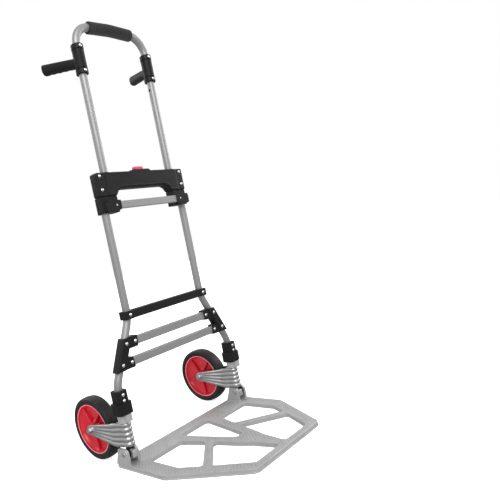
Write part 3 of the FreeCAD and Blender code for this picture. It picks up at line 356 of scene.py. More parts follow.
def flat_bar(colour):
    """The same metal drawn sideways into a flat bar."""
    f = Finish("flat_bar", colour, 0.5, 0.8)
    f.soft_edges(0.0012)
    f.mottle(9.0, 0.06, (0.2, 1, 1)).gloss(60.0, 0.06, (0.05, 1, 1))
    f.grain(f.noise(900.0, 2.0, (0.02, 1, 1)), 0.00008, 0.35)
    return f.done()


def tumbled_casting(name, colour, worn_and_highlit, roughness=0.52, metallic=0.62):
    """Die casting with a fine pebbled skin and edges tinted brighter, partly as wear and partly as a painted
    highlight.
    """
    f = Finish(name, colour, roughness, metallic)
    # edges tinted lighter: partly wear, partly painted highlight
    f.soft_edges(0.0011, worn_and_highlit, 0.75)
    f.mottle(28.0, 0.07).gloss(45.0, 0.08)
    f.grain(f.noise(420.0, 4.0), 0.00016, 0.4)
    return f.done()


def grained_moulding(name, colour, roughness=0.46, pitch=620.0, lift=0.00012):
    """Black moulding with a spark-eroded grain and slightly lighter edges, partly rubbing and partly a
    painted highlight.
    """
    f = Finish(name, colour, roughness, 0.0, Specular_IOR_Level=0.22)
    # edges tinted lighter: partly wear, partly painted highlight
    f.soft_edges(0.001, [min(1.0, c * 3.2) for c in colour], 0.55)
    f.mottle(16.0, 0.18).gloss(30.0, 0.07)
    f.grain(f.noise(pitch, 3.0), lift, 0.5)
    return f.done()


def closed_foam(colour):
    """Closed-cell foam: small pits, soft sheen and long faint pulls."""
    f = Finish("closed_foam", colour, 0.82, 0.0, Specular_IOR_Level=0.2, Sheen_Weight=0.08,
               Sheen_Roughness=0.5)
    cells = f.node("TexVoronoi", [("Vector", f.place())], Scale=520.0)
    f.mottle(70.0, 0.3, (0.15, 1, 1), 4.0).gloss(60.0, 0.06)
    f.grain(cells.outputs["Distance"], 0.00045, 0.6)
    f.grain(f.noise(60.0, 4.0, (0.12, 1, 1)), 0.0009, 0.35)
    return f.done()


def tread_rubber(colour):
    """Foam rubber of the tyres: a low sheen, with dust in its finest pores."""
    f = Finish("tread_rubber", colour, 0.42, 0.0, Specular_IOR_Level=0.35)
    f.mottle(24.0, 0.3).gloss(18.0, 0.1)
    f.tint(f.stretched(f.noise(140.0, 5.0), 0.56, 0.85), (0.10, 0.10, 0.095), 0.35)
    f.grain(f.noise(700.0, 3.0), 0.00018, 0.5)
    return f.done()


def glossy_moulding(name, colour, roughness=0.32):
    """Coloured moulding with faint flow marks under a soft gloss."""
    f = Finish(name, colour, roughness, 0.0, Specular_IOR_Level=0.5, Coat_Weight=0.12,
               Coat_Roughness=0.25)
    # edges tinted lighter: partly wear, partly painted highlight on the glossy edges
    f.soft_edges(0.0008, [min(1.0, c * 1.25 + 0.05) for c in colour], 0.6)
    f.mottle(14.0, 0.1, (1, 1, 1), 2.0).gloss(26.0, 0.05)
    f.grain(f.noise(300.0, 2.0), 0.00008, 0.3)
    return f.done()


def bright_metal(name, colour, roughness):
    """Plated steel: turned marks and a few tarnished spots."""
    f = Finish(name, colour, roughness, 1.0)
    f.soft_edges(0.0005)
    f.mottle(120.0, 0.12).gloss(160.0, 0.06)
    f.grain(f.noise(1200.0, 2.0), 0.00005, 0.3)
    return f.done()


# ---- sizes and colours ---------------------------------------------------------------------
def length(label, text, default, low=0.0, high=1.0):
    """A size in metres that a user may change."""
    return FloatProperty(name=label, description=text, default=default, min=low, max=high,
                         subtype="DISTANCE", unit="LENGTH", precision=4)


def colour(label, text, default):
    """A colour that a user may change."""
    return FloatVectorProperty(name=label, description=text, default=default, size=3, min=0.0,
                               max=1.0, subtype="COLOR")


class HandTruckColours(bpy.types.PropertyGroup):
    tube: colour("Tube", "Drawn aluminium tube and flat bars", (0.335, 0.337, 0.34))
    casting: colour("Casting", "Toe plate, forks, collars and feet", (0.47, 0.47, 0.47))
    # lighter colour for the castings' edges: partly wear, partly painted highlight
    casting_edge_wear_and_highlight: colour("Casting edge", "Casting where its edges are worn", (0.80, 0.81, 0.82))
    moulding: colour("Moulding", "Bridge, brackets, sockets and slide blocks", (0.0075, 0.0075, 0.008))
    grip: colour("Grip", "Side grips and their rings", (0.007, 0.007, 0.0075))
    foam: colour("Foam", "Sleeve of the handle", (0.015, 0.015, 0.016))
    button: colour("Button", "Release button", (0.78, 0.055, 0.14))
    rim: colour("Rim", "Wheel rims", (0.52, 0.004, 0.018))
    rim_lip: colour("Rim lip", "Thin edge round the rims", (0.86, 0.20, 0.26))
    tyre: colour("Tyre", "Rubber of the tyres", (0.0075, 0.008, 0.008))
    rivet: colour("Rivet", "Rivet heads", (0.86, 0.86, 0.87))
    zinc: colour("Zinc", "Bolts, nuts, washers and pins", (0.60, 0.63, 0.64))


class HandTruckWheels(bpy.types.PropertyGroup):
    lip_radius: length("Lip", "Half thickness of the rim's raised lip", 1.15 * MM)
    rib_width: length("Rib width", "Thickness of the rim's ribs", 3.4 * MM)
    rib_count: IntProperty(name="Ribs", description="Ribs on each face of a rim", default=5, min=3, max=12)
    groove_depth: length("Groove depth", "Depth of the grooves round the tyre", 0.9 * MM)


class HandTruckForks(bpy.types.PropertyGroup):
    rib_count: IntProperty(name="Ribs", description="Ribs round each fork", default=5, min=2, max=9)
    rib_lift: length("Rib lift", "How far the ribs stand out at the hub", 3.0 * MM)
    seam: length("Seam", "Depth of the parting line down the hub's front", 0.7 * MM)


class HandTruckBridge(bpy.types.PropertyGroup):
    bead_lift: length("Bead lift", "Height of the bead along the arch", 0.9 * MM)
    bead_inset: length("Bead inset", "Distance of that bead from the arch's edge", 5.2 * MM)
    corner: length("Corner", "Rounding along the bridge's edges", 3.0 * MM)


class HandTruckGrips(bpy.types.PropertyGroup):
    groove_depth: length("Finger groove", "Depth of the finger grooves", 1.1 * MM)
    groove_count: IntProperty(name="Grooves", description="Finger grooves on each grip", default=4,
                              min=2, max=6)
    foam_wander: length("Foam wander", "Unevenness of the foam sleeve", 0.25 * MM)


class HandTruckPlate(bpy.types.PropertyGroup):
    bead_radius: length("Bead", "Half width of the raised beads on the toe plate", 1.7 * MM)
    skirt_radius: length("Skirt", "Half width of the lip round the plate's foot", 1.5 * MM)
    tread_pitch: length("Tread pitch", "Distance between the slanting tread bars", 7.6 * MM)
    tread_radius: length("Tread bar", "Half width of a tread bar", 1.7 * MM)


class HandTruckStage(bpy.types.PropertyGroup):
    key_power: FloatProperty(name="Key light", description="Power of the large front light", default=6.5,
                             min=0.0, subtype="POWER", unit="POWER")
    fill_power: FloatProperty(name="Fill light", description="Power of the side light", default=2.2,
                              min=0.0, subtype="POWER", unit="POWER")
    lens: FloatProperty(name="Lens", description="Focal length of the camera", default=35.22, min=1.0,
                        subtype="DISTANCE_CAMERA", unit="CAMERA")


GROUPS = {
    "truck_colours": HandTruckColours,
    "truck_wheels": HandTruckWheels,
    "truck_forks": HandTruckForks,
    "truck_bridge": HandTruckBridge,
    "truck_grips": HandTruckGrips,
    "truck_plate": HandTruckPlate,
    "truck_stage": HandTruckStage,
}


# ---- operators -----------------------------------------------------------------------------
finishes = {}


class TRUCK_OT_finishes(bpy.types.Operator):
    """Make every finish and give each frame node its own"""
    bl_idname = "truck.finishes"
    bl_label = "Finishes"

    def execute(self, context):
        c = context.scene.truck_colours
        finishes.update(
            tube=drawn_tube(c.tube),
            bar=flat_bar(c.tube),
            casting=tumbled_casting("tumbled_casting", c.casting, c.casting_edge_wear_and_highlight),
            fork=tumbled_casting("brushed_casting", c.casting, c.casting_edge_wear_and_highlight, 0.34, 0.92),
            moulding=grained_moulding("grained_moulding", c.moulding),
            grip=grained_moulding("grip_moulding", c.grip, 0.52, 420.0, 0.0002),
            nylon=grained_moulding("gear_nylon", c.moulding, 0.38),
            foam=closed_foam(c.foam),
            tyre=tread_rubber(c.tyre),
            button=glossy_moulding("button_moulding", c.button, 0.35),
            rim=glossy_moulding("rim_moulding", c.rim, 0.34),
            lip=glossy_moulding("rim_lip_moulding", c.rim_lip, 0.4),
            rivet=bright_metal("rivet_dome", c.rivet, 0.32),
            zinc=bright_metal("zinc_plate", c.zinc, 0.34),
        )
        by_slot = {
            "tube_aluminium": "tube", "cast_aluminium": "casting", "black_plastic": "moulding",
            "grip_rubber": "grip", "foam": "foam", "gear_nylon": "nylon", "red_button": "button",
            "red_rim": "rim", "tyre_rubber": "tyre", "rivet_steel": "rivet", "plated_steel": "zinc",
        }
        by_node = {"slide_crossbar": "bar", "crossbar_upper": "bar", "crossbar_lower": "bar"}
        for part in frame["record"]["subparts"]:
            node = frame["nodes"][part["node"]]
            finish = finishes[by_node.get(part["node"], by_slot[part["material_slot"]])]
            node.data.materials.clear()
            node.data.materials.append(finish)
        return {"FINISHED"}


class TRUCK_OT_wheels(bpy.types.Operator):
    """Build the ribbed rims and the grooved tyres"""
    bl_idname = "truck.wheels"
    bl_label = "Wheels"

    def execute(self, context):
        sizes = context.scene.truck_wheels
        for side, _ in SIDES:
            self.rim(sizes, side)
            self.tyre(sizes, side)
        return {"FINISHED"}

    def rim(self, sizes, side):
        """The web, barrel and hub are one profile turned round the axle; two lips edge the barrel."""
        centre = middle("wheel_rim_" + side)
        hub_half = 19.1 * MM
        half = np.array([
            (-hub_half, 8 * MM), (-hub_half, 13.5 * MM), (-9 * MM, 17.5 * MM), (-3 * MM, 22 * MM),
            (-2.6 * MM, 45 * MM), (-4.5 * MM, 58 * MM), (-12 * MM, 62.5 * MM), (-15.8 * MM, 63.4 * MM),
            (-16 * MM, 67.5 * MM),
        ])
        profile = np.concatenate([half, (half * (-1, 1))[::-1]])
        radii = np.array([0.4, 1.5, 4, 7, 20, 6, 4, 0.8, 0.4, 0.4, 0.8, 4, 6, 20, 7, 4, 1.5, 0.4]) * MM
        dish = turned(rounded_path(profile, radii, 6), centre, 120)
        piece(skin("rim_dish_" + side, dish, loop_rows=True), "wheel_" + side, finishes["rim"],
              38, ["wheel_rim_" + side])
        self.ribs(sizes, side, centre)
        ring = round_section(14) * sizes.lip_radius
        faces = np.array([-1, 1])[:, None, None] * np.array([16.1 * MM, 0])
        loops = ring[None] * (1, 1) + faces + np.array([0, 65.9 * MM])
        lips = np.stack([turned(loop, centre, 120) for loop in loops])
        piece(skin("rim_lips_" + side, lips, loop_rows=True), "wheel_" + side, finishes["lip"])

    def ribs(self, sizes, side, centre):
        """Each rib runs from the hub to the barrel; its section is a tall superellipse.

        At radius r its foot is in the web and its crest falls from the hub's face to the rim's,
        with a shallow dip between them. The front and back ribs overlap a little in the web.
        """
        count = sizes.rib_count
        share = np.linspace(0, 1, 18)
        overlap = 0.05 * MM
        radius = (12 + share * 51) * MM
        crest = (15.5 - 4.5 * share - 1.6 * np.sin(pi * share)) * MM
        width = sizes.rib_width * (1.15 - 0.25 * np.sin(pi * share)) / 2
        loop = round_section(20, 3.2)
        face = np.array([-1.0, 1.0])[:, None, None]
        across = width[None, :, None] * loop[None, None, :, 0]
        along = face * (crest[None, :, None] * (1 + loop[None, None, :, 1]) / 2 - overlap)
        out = np.broadcast_to(radius[None, :, None], along.shape)
        across = np.broadcast_to(across, along.shape)
        rows = np.stack([along, across, out], -1)
        ends = [rows[:, :1].mean(2, keepdims=True), rows[:, -1:].mean(2, keepdims=True)]
        ends = [np.broadcast_to(e, rows[:, :1].shape) for e in ends]
        rows = np.concatenate([ends[0], rows, ends[1]], 1)
        angle = 2 * pi * np.arange(count) / count + pi
        c, s = np.cos(angle)[:, None, None, None], np.sin(angle)[:, None, None, None]
        x, y, z = (rows[None, ..., i] for i in range(3))
        spun = np.stack(np.broadcast_arrays(x, y * c - z * s, y * s + z * c), -1) + centre
        piece(skin("rim_ribs_" + side, spun), "wheel_" + side, finishes["rim"], 50)

    def tyre(self, sizes, side):
        """The tread is a low crown with round grooves; the walls carry a raised line.

        Tread radius = outer radius - crown * |x / half width|^2.4 - the sum of groove hollows.
        """
        centre = middle("tyre_" + side)
        half_tread, top, fall = 15.2, 84.8, 1.8
        x = np.linspace(-half_tread, half_tread, 77) * MM
        crown = top * MM - fall * MM * np.abs(x / (half_tread * MM)) ** 2.4
        for groove in (-9.5, -3.2, 3.2, 9.5):
            crown = crown - sizes.groove_depth * np.exp(-((x - groove * MM) / (0.75 * MM)) ** 4)
        wall = rounded_path(np.array([
            (half_tread, top - fall), (17.5, 79.6), (18.0, 75.5), (18.35, 74.4), (18.0, 73.3),
            (17.6, 69.5), (16.2, 67.0), (14.0, 66.0),
        ]) * MM, np.array([0, 4.2, 0.6, 0.5, 0.6, 2.5, 1.2, 0]) * MM, 6, closed=False)
        other = (wall * (-1, 1))[::-1]
        profile = np.concatenate([np.stack([x, crown], 1), wall[1:], other[:-1]])
        grid = turned(profile, centre, 144)
        piece(skin("tyre_body_" + side, grid, loop_rows=True), "wheel_" + side, finishes["tyre"],
              60, ["tyre_" + side])


class TRUCK_OT_forks(bpy.types.Operator):
    """Build the ribbed fork castings"""
    bl_idname = "truck.forks"
    bl_label = "Forks"

    def execute(self, context):
        sizes = context.scene.truck_forks
        for side, sign in SIDES:
            mesh = skin("fork_casting_" + side, self.surface(sizes, sign))
            piece(mesh, "fork_" + side, finishes["fork"], 44, ["fork_" + side])
        return {"FINISHED"}

    def surface(self, sizes, sign):
        """A section carried round the fork from one arm's tip to the other.

        The path runs up the outer arm, through an eased flare, round the hub's front and back
        along the inner arm.  The section's outer face bulges by lift * sin^2(ribs * pi * t),
        t being the share of the way up, so that the ribs close in on the axle with the taper.
        """
        arm_x, hub_r, reach, tip = 24.5 * MM, 14.5 * MM, 126 * MM, 13 * MM
        wall_y, inner_x = 18.5 * MM, 19.5 * MM
        turn = np.linspace(0, pi / 2, 12)
        arm_y = np.concatenate([reach + tip * np.cos(turn), np.linspace(reach, 36 * MM, 26)[1:]])
        ease = np.linspace(0, 1, 16)[1:]
        flare_y = 36 * MM * (1 - ease)
        flare_x = arm_x + (hub_r - arm_x) * ease * ease * (3 - 2 * ease)
        swing = np.linspace(0, pi / 2, 18)[1:]
        out_x = np.concatenate([np.full(len(arm_y), arm_x), flare_x, hub_r * np.cos(swing)])
        out_y = np.concatenate([arm_y, flare_y, -hub_r * np.sin(swing)])
        back = rounded_path(np.array([(inner_x, 36 * MM), (inner_x, wall_y), (0, wall_y)]),
                            np.array([0, 8 * MM, 0]), 9, closed=False)
        rest = len(out_x) - len(arm_y)
        step = np.concatenate([[0], np.cumsum(np.linalg.norm(np.diff(back, axis=0), axis=1))])
        at = np.linspace(0, step[-1], rest + 1)[1:]
        in_x = np.concatenate([np.full(len(arm_y), inner_x), np.interp(at, step, back[:, 0])])
        in_y = np.concatenate([arm_y, np.interp(at, step, back[:, 1])])
        halves = (out_x, -1), (out_y, 1), (in_x, -1), (in_y, 1)
        both = [np.concatenate([a, f * a[::-1][1:]]) for a, f in halves]
        outer, inner = np.stack(both[:2], 1), np.stack(both[2:], 1)
        axle, foot, crown = 85 * MM, 52 * MM, 114 * MM
        low_end, high_end = axle - 12.6 * MM, axle + 12.6 * MM
        y = outer[:, 1]
        taper = np.clip((y - 20.5 * MM) / (108.5 * MM), 0, 1)
        low = foot + (low_end - foot) * taper
        high = crown + (high_end - crown) * taper
        past = y > reach
        cap = np.sqrt(np.clip(tip ** 2 - (y - reach) ** 2, 0, None))
        low, high = np.where(past, axle - cap, low), np.where(past, axle + cap, high)
        along = np.gradient(outer, axis=0)
        along[0] = (0, -1)
        along[-1] = (0, 1)
        along /= np.linalg.norm(along, axis=1)[:, None]
        away = np.stack([-along[:, 1], along[:, 0]], 1)
        t = np.linspace(0, 1, 61)
        tall = (high - low)[:, None]
        rise = t[None] * tall
        edge = np.minimum(rise, tall - rise)
        corner = np.minimum(1.6 * MM, tall / 2 + 1e-9)
        short = np.clip(corner - edge, 0, None)
        drop = corner - np.sqrt(np.clip(corner ** 2 - short ** 2, 0, None))
        fade = np.clip((reach - 8 * MM - y) / (60 * MM), 0, 1)[:, None]
        bulge = np.abs(np.sin(sizes.rib_count * pi * t))[None] ** 0.9
        lift = sizes.rib_lift * (0.25 + 0.75 * fade) * fade ** 0.4 * (bulge - 0.72)
        seam = -sizes.seam * np.exp(-(outer[:, :1] / (0.9 * MM)) ** 2) * (y[:, None] < 0)
        push = (lift + seam - drop)[..., None] * away[:, None]
        face = outer[:, None] + push
        outside = np.concatenate([face, (low[:, None] + rise)[..., None]], -1)
        top = np.concatenate([inner, high[:, None]], 1)[:, None]
        bottom = np.concatenate([inner, low[:, None]], 1)[:, None]
        section = np.concatenate([outside, top, bottom], 1)
        return section * (sign, 1, 1) + (sign * LEG, TUBE_PLANE, 0)


class TRUCK_OT_bridge(bpy.types.Operator):
    """Build the arched bridge with its bead, lands and tube collars"""
    bl_idname = "truck.bridge"
    bl_label = "Bridge"

    def execute(self, context):
        sizes = context.scene.truck_bridge
        piece(skin("bridge_moulding", self.surface(sizes)), "frame", finishes["moulding"],
              34, ["bridge_front_shell", "bridge_rear_shell"])
        top, hump, end = 731 * MM, 736 * MM, 156.2 * MM
        ring = round_section(12) * (1.3 * MM, 1.0 * MM) + (TUBE_RADIUS + 1.7 * MM, 0)
        rings = np.stack([turned_upright(ring, (sign * HANDLE_X, TUBE_PLANE, top)) for _, sign in SIDES])
        collars = skin("bridge_collars", rings, loop_rows=True)
        piece(collars, "frame", finishes["moulding"])
        foot_x, head_x = 31.5 * MM, 29 * MM
        seam_x = np.array([-end, -foot_x, -head_x, head_x, foot_x, end])
        seam_z = np.array([top, top, hump, hump, top, top])
        seam = np.stack([seam_x, np.full(6, TUBE_PLANE), seam_z], 1)
        line = resampled(seam, 1.5 * MM, closed=False)
        mesh = skin("bridge_seam", bead(line, 0.35 * MM, closed=False))
        piece(mesh, "frame", finishes["moulding"])
        return {"FINISHED"}

    def surface(self, sizes):
        """A rounded rectangle carried along X whose height follows the arch and the hump.

        The front and back faces carry a bead at a fixed distance above the lower edge, and step
        back over the rivet lands at both ends.
        """
        ends, end_radius = 156.5 * MM, 3 * MM
        inside = np.linspace(-1, 1, 261) * (ends - end_radius)
        arc = np.linspace(0, pi / 2, 6)
        tail = ends - end_radius + end_radius * np.sin(arc[1:])
        x = np.concatenate([-tail[::-1], inside, tail])
        pull = np.zeros(len(x))
        pull[-5:] = end_radius * (1 - np.cos(arc[1:]))
        pull[:5] = pull[-5:][::-1]
        across = np.abs(x)
        foot = np.interp(across, np.array([0, 80, 93.6, 102, 157]) * MM,
                         np.array([688, 688, 682.2, 670, 670]) * MM)
        top = np.interp(across, np.array([0, 28.5, 32.5, 157]) * MM, np.array([736, 736, 731, 731]) * MM)
        smooth = np.ones(5) / 5
        foot[3:-3] = np.convolve(foot, smooth, "same")[3:-3]
        top[3:-3] = np.convolve(top, smooth, "same")[3:-3]
        shoulder = 5 * MM
        end_round = np.clip(across - (ends - shoulder), 0, shoulder)
        lost = shoulder - np.sqrt(shoulder ** 2 - end_round ** 2)
        foot, top = foot + lost * 0.8 + pull * 0.2, top - lost * 0.8 - pull * 0.2
        step = 1 / (1 + np.exp(-(across - 129 * MM) / (0.35 * MM)))
        deep = 15.5 * MM - 1.5 * MM * step - pull
        r = np.minimum(sizes.corner, deep * 0.9)
        mid, half = (foot + top) / 2, (top - foot) / 2
        q = np.linspace(0, pi / 2, 6)
        face = np.linspace(-1, 1, 44)[1:-1]
        ones, none = np.ones, np.zeros
        a = np.concatenate([-ones(6), -ones(42), -ones(6), ones(6), ones(42), ones(6)])
        b = np.concatenate([-np.sin(q), -ones(42), -np.cos(q), np.sin(q), ones(42), np.cos(q)])
        c = np.concatenate([-ones(6), face, ones(6), ones(6), face[::-1], -ones(6)])
        e = np.concatenate([-np.cos(q), none(42), np.sin(q), np.cos(q), none(42), -np.sin(q)])
        y = a * (deep - r)[:, None] + b * r[:, None]
        z = mid[:, None] + c * (half - r)[:, None] + e * r[:, None]
        on_face = np.concatenate([none(6), ones(42), none(6), none(6), ones(42), none(6)])
        above = z - foot[:, None]
        reach = (1 / (1 + np.exp((across - 124 * MM) / (1.2 * MM))))[:, None]
        lift = sizes.bead_lift * np.exp(-((above - sizes.bead_inset) / (1.1 * MM)) ** 2)
        under = (top[:, None] - z)
        lift = lift + 0.5 * sizes.bead_lift * np.exp(-((under - 4.5 * MM) / (1.0 * MM)) ** 2)
        y = y + np.sign(a) * on_face * reach * lift
        rows = np.stack([np.broadcast_to(x[:, None], y.shape), y + TUBE_PLANE, z], -1)
        return capped(rows)


class TRUCK_OT_foam(bpy.types.Operator):
    """Build the foam sleeve on the handle"""
    bl_idname = "truck.foam"
    bl_label = "Foam sleeve"

    def execute(self, context):
        """A round section carried along X on the handle's bowed top, with a slow uneven wander.

        Height of the middle = apex - bow, where bow = 6 mm * sqrt((x / half gauge)^2 + 0.012).
        """
        sizes = context.scene.truck_grips
        low, high = low_and_high("foam_grip")
        half, radius, end_round = high[0], (high[1] - low[1]) / 2, 2.5 * MM
        x = np.linspace(-half + end_round, half - end_round, 121)
        turn = np.linspace(0, pi / 2, 6)[1:]
        tail_x = half - end_round + end_round * np.sin(turn)
        x = np.concatenate([-tail_x[::-1], x, tail_x])
        shrink = np.zeros(len(x))
        shrink[-5:] = end_round * (1 - np.cos(turn))
        shrink[:5] = shrink[-5:][::-1]
        angle = np.linspace(0, 2 * pi, 64, endpoint=False)
        wander = hollow_wave(x[:, None] * 60 + 1.5 * np.sin(angle)[None], 4)
        wander = wander + 0.5 * hollow_wave(x[:, None] * 25 + 4 * np.cos(angle)[None], 9)
        r = radius - 0.3 * MM - shrink[:, None] + sizes.foam_wander * wander
        apex = high[2] - radius
        bow = 6 * MM * np.sqrt((x / HANDLE_X) ** 2 + 0.012) - 0.66 * MM
        centre = apex - bow
        rows = np.stack([np.broadcast_to(x[:, None], r.shape), TUBE_PLANE + r * np.cos(angle),
                         centre[:, None] + r * np.sin(angle)], -1)
        made = piece(skin("foam_sleeve", capped(rows)), "handle", finishes["foam"], 60, ["foam_grip"])
        return {"FINISHED"}


class TRUCK_OT_button_spring(bpy.types.Operator):
    """Build the spring under the release button"""
    bl_idname = "truck.button_spring"
    bl_label = "Button spring"

    def execute(self, context):
        low, high = low_and_high("button_spring")
        made = piece(skin("button_coil", self.coil(low, high)), "frame", finishes["zinc"],
                     50, ["button_spring"])
        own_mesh(made)
        return {"FINISHED"}

    def coil(self, low, high):
        """A round wire carried up a helix.

        Axis point = (R cos a, R sin a, rise * a / (2 pi turns)); the wire's circle lies across it.
        """
        turns, wire = 5, 0.4 * MM
        centre = (low + high) / 2
        radius = (high[0] - low[0]) / 2 - wire
        rise = high[2] - low[2] - 2 * wire
        angle = np.linspace(0, 2 * pi * turns, 32 * turns + 1)[:, None]
        around = 2 * pi * np.arange(12) / 12
        slope = rise / (2 * pi * turns * radius)
        lean = 1 / np.hypot(1, slope)
        out = radius + wire * np.cos(around)[None]
        aside = wire * np.sin(around)[None] * slope * lean
        x = centre[0] + out * np.cos(angle) + aside * np.sin(angle)
        y = centre[1] + out * np.sin(angle) - aside * np.cos(angle)
        z = low[2] + wire + rise * angle / angle[-1] + wire * np.sin(around)[None] * lean
        return capped(np.stack([x, y, z], -1))


class TRUCK_OT_side_grips(bpy.types.Operator):
    """Build the two side grips with their finger grooves"""
    bl_idname = "truck.side_grips"
    bl_label = "Side grips"

    def execute(self, context):
        sizes = context.scene.truck_grips
        for side, sign in SIDES:
            arm = skin("grip_arm_" + side, self.arm(sizes, sign))
            piece(arm, "side_grip_" + side, finishes["grip"], 50, ["side_grip_" + side])
            sleeve = skin("grip_sleeve_" + side, self.sleeve(sign), loop_rows=True)
            piece(sleeve, "side_grip_" + side, finishes["grip"], 36)
        return {"FINISHED"}

    def arm(self, sizes, sign):
        """An oval section carried up the grip's rising axis.

        Its underside waves by depth * cos(2 pi * grooves * share), its flanks carry fine steps,
        and its end is a rim round a shallow hollow.
        """
        reach = 112 * MM
        share = np.linspace(0, 1, 90)
        end_round = 2 * MM
        u = 6 * MM + (reach - 8 * MM) * share
        turn = np.linspace(0, pi / 2, 6)[1:]
        u = np.concatenate([u, reach - end_round + end_round * np.sin(turn)])
        shrink = np.concatenate([np.zeros(90), end_round * (1 - np.cos(turn))])
        u = np.concatenate([u, [reach, reach - 1.2 * MM]])
        shrink = np.concatenate([shrink, [4.2 * MM, 4.8 * MM]])
        along = u / reach
        tall = (12.4 + 1.9 * along) * MM - shrink
        deep = 12.5 * MM - 1.2 * MM * np.exp(-((u - 24 * MM) / (9 * MM)) ** 2) - shrink
        section = round_section(56, 2.35)
        start, end = 30 * MM, 104 * MM
        phase = np.clip((u - start) / (end - start), 0, 1)
        wave = 0.5 - 0.5 * np.cos(2 * pi * sizes.groove_count * phase)
        below = np.clip(-section[:, 1], 0, 1) ** 1.5
        scale = 1 - (sizes.groove_depth * wave / (13 * MM))[:, None] * below[None]
        flank = np.clip(np.abs(section[:, 0]) - 0.45, 0, 1)[None]
        ticks = (0.5 + 0.5 * np.cos(2 * pi * u / (3.4 * MM)))[:, None] ** 3
        in_band = ((u > 34 * MM) & (u < 100 * MM))[:, None]
        depth = deep[:, None] * section[:, 0] * (1 + 0.035 * ticks * flank * in_band)
        height = tall[:, None] * section[:, 1] * scale
        root_height, climb = 1011.3 * MM, 20 * MM
        axis = root_height + climb / reach * u
        heading = radians(70)
        x = HANDLE_X + np.cos(heading) * u[:, None] - np.sin(heading) * depth
        y = TUBE_PLANE + np.sin(heading) * u[:, None] + np.cos(heading) * depth
        rows = np.stack([x * sign, y, axis[:, None] + height], -1)
        return capped(rows)

    def sleeve(self, sign):
        """A turned sleeve round the handle tube, lightly fluted between its two end bands."""
        low, high = 995.4 * MM, 1042.6 * MM
        inner, outer = TUBE_RADIUS + 0.3 * MM, 15.5 * MM
        z = np.linspace(low + 1 * MM, high - 1 * MM, 25)
        wall = np.stack([np.full(25, outer), z], 1)
        profile = np.concatenate([[(inner, low), (outer - 1 * MM, low)], wall,
                                  [(outer - 1 * MM, high), (inner, high)]])
        grid = turned_upright(profile, (0, 0, 0), 96)
        angle = np.arctan2(grid[..., 1], grid[..., 0])
        radius = np.hypot(grid[..., 0], grid[..., 1])
        middle_band = np.clip((np.minimum(grid[..., 2] - low, high - grid[..., 2]) - 6 * MM) / (2 * MM), 0, 1)
        flute = 0.45 * MM * (0.5 - 0.5 * np.cos(12 * angle)) ** 2 * middle_band * (radius > 14 * MM)
        share = (radius - flute) / radius
        grid = grid * np.stack([share, share, np.ones_like(share)], -1)
        return grid + (sign * HANDLE_X, TUBE_PLANE, 0)


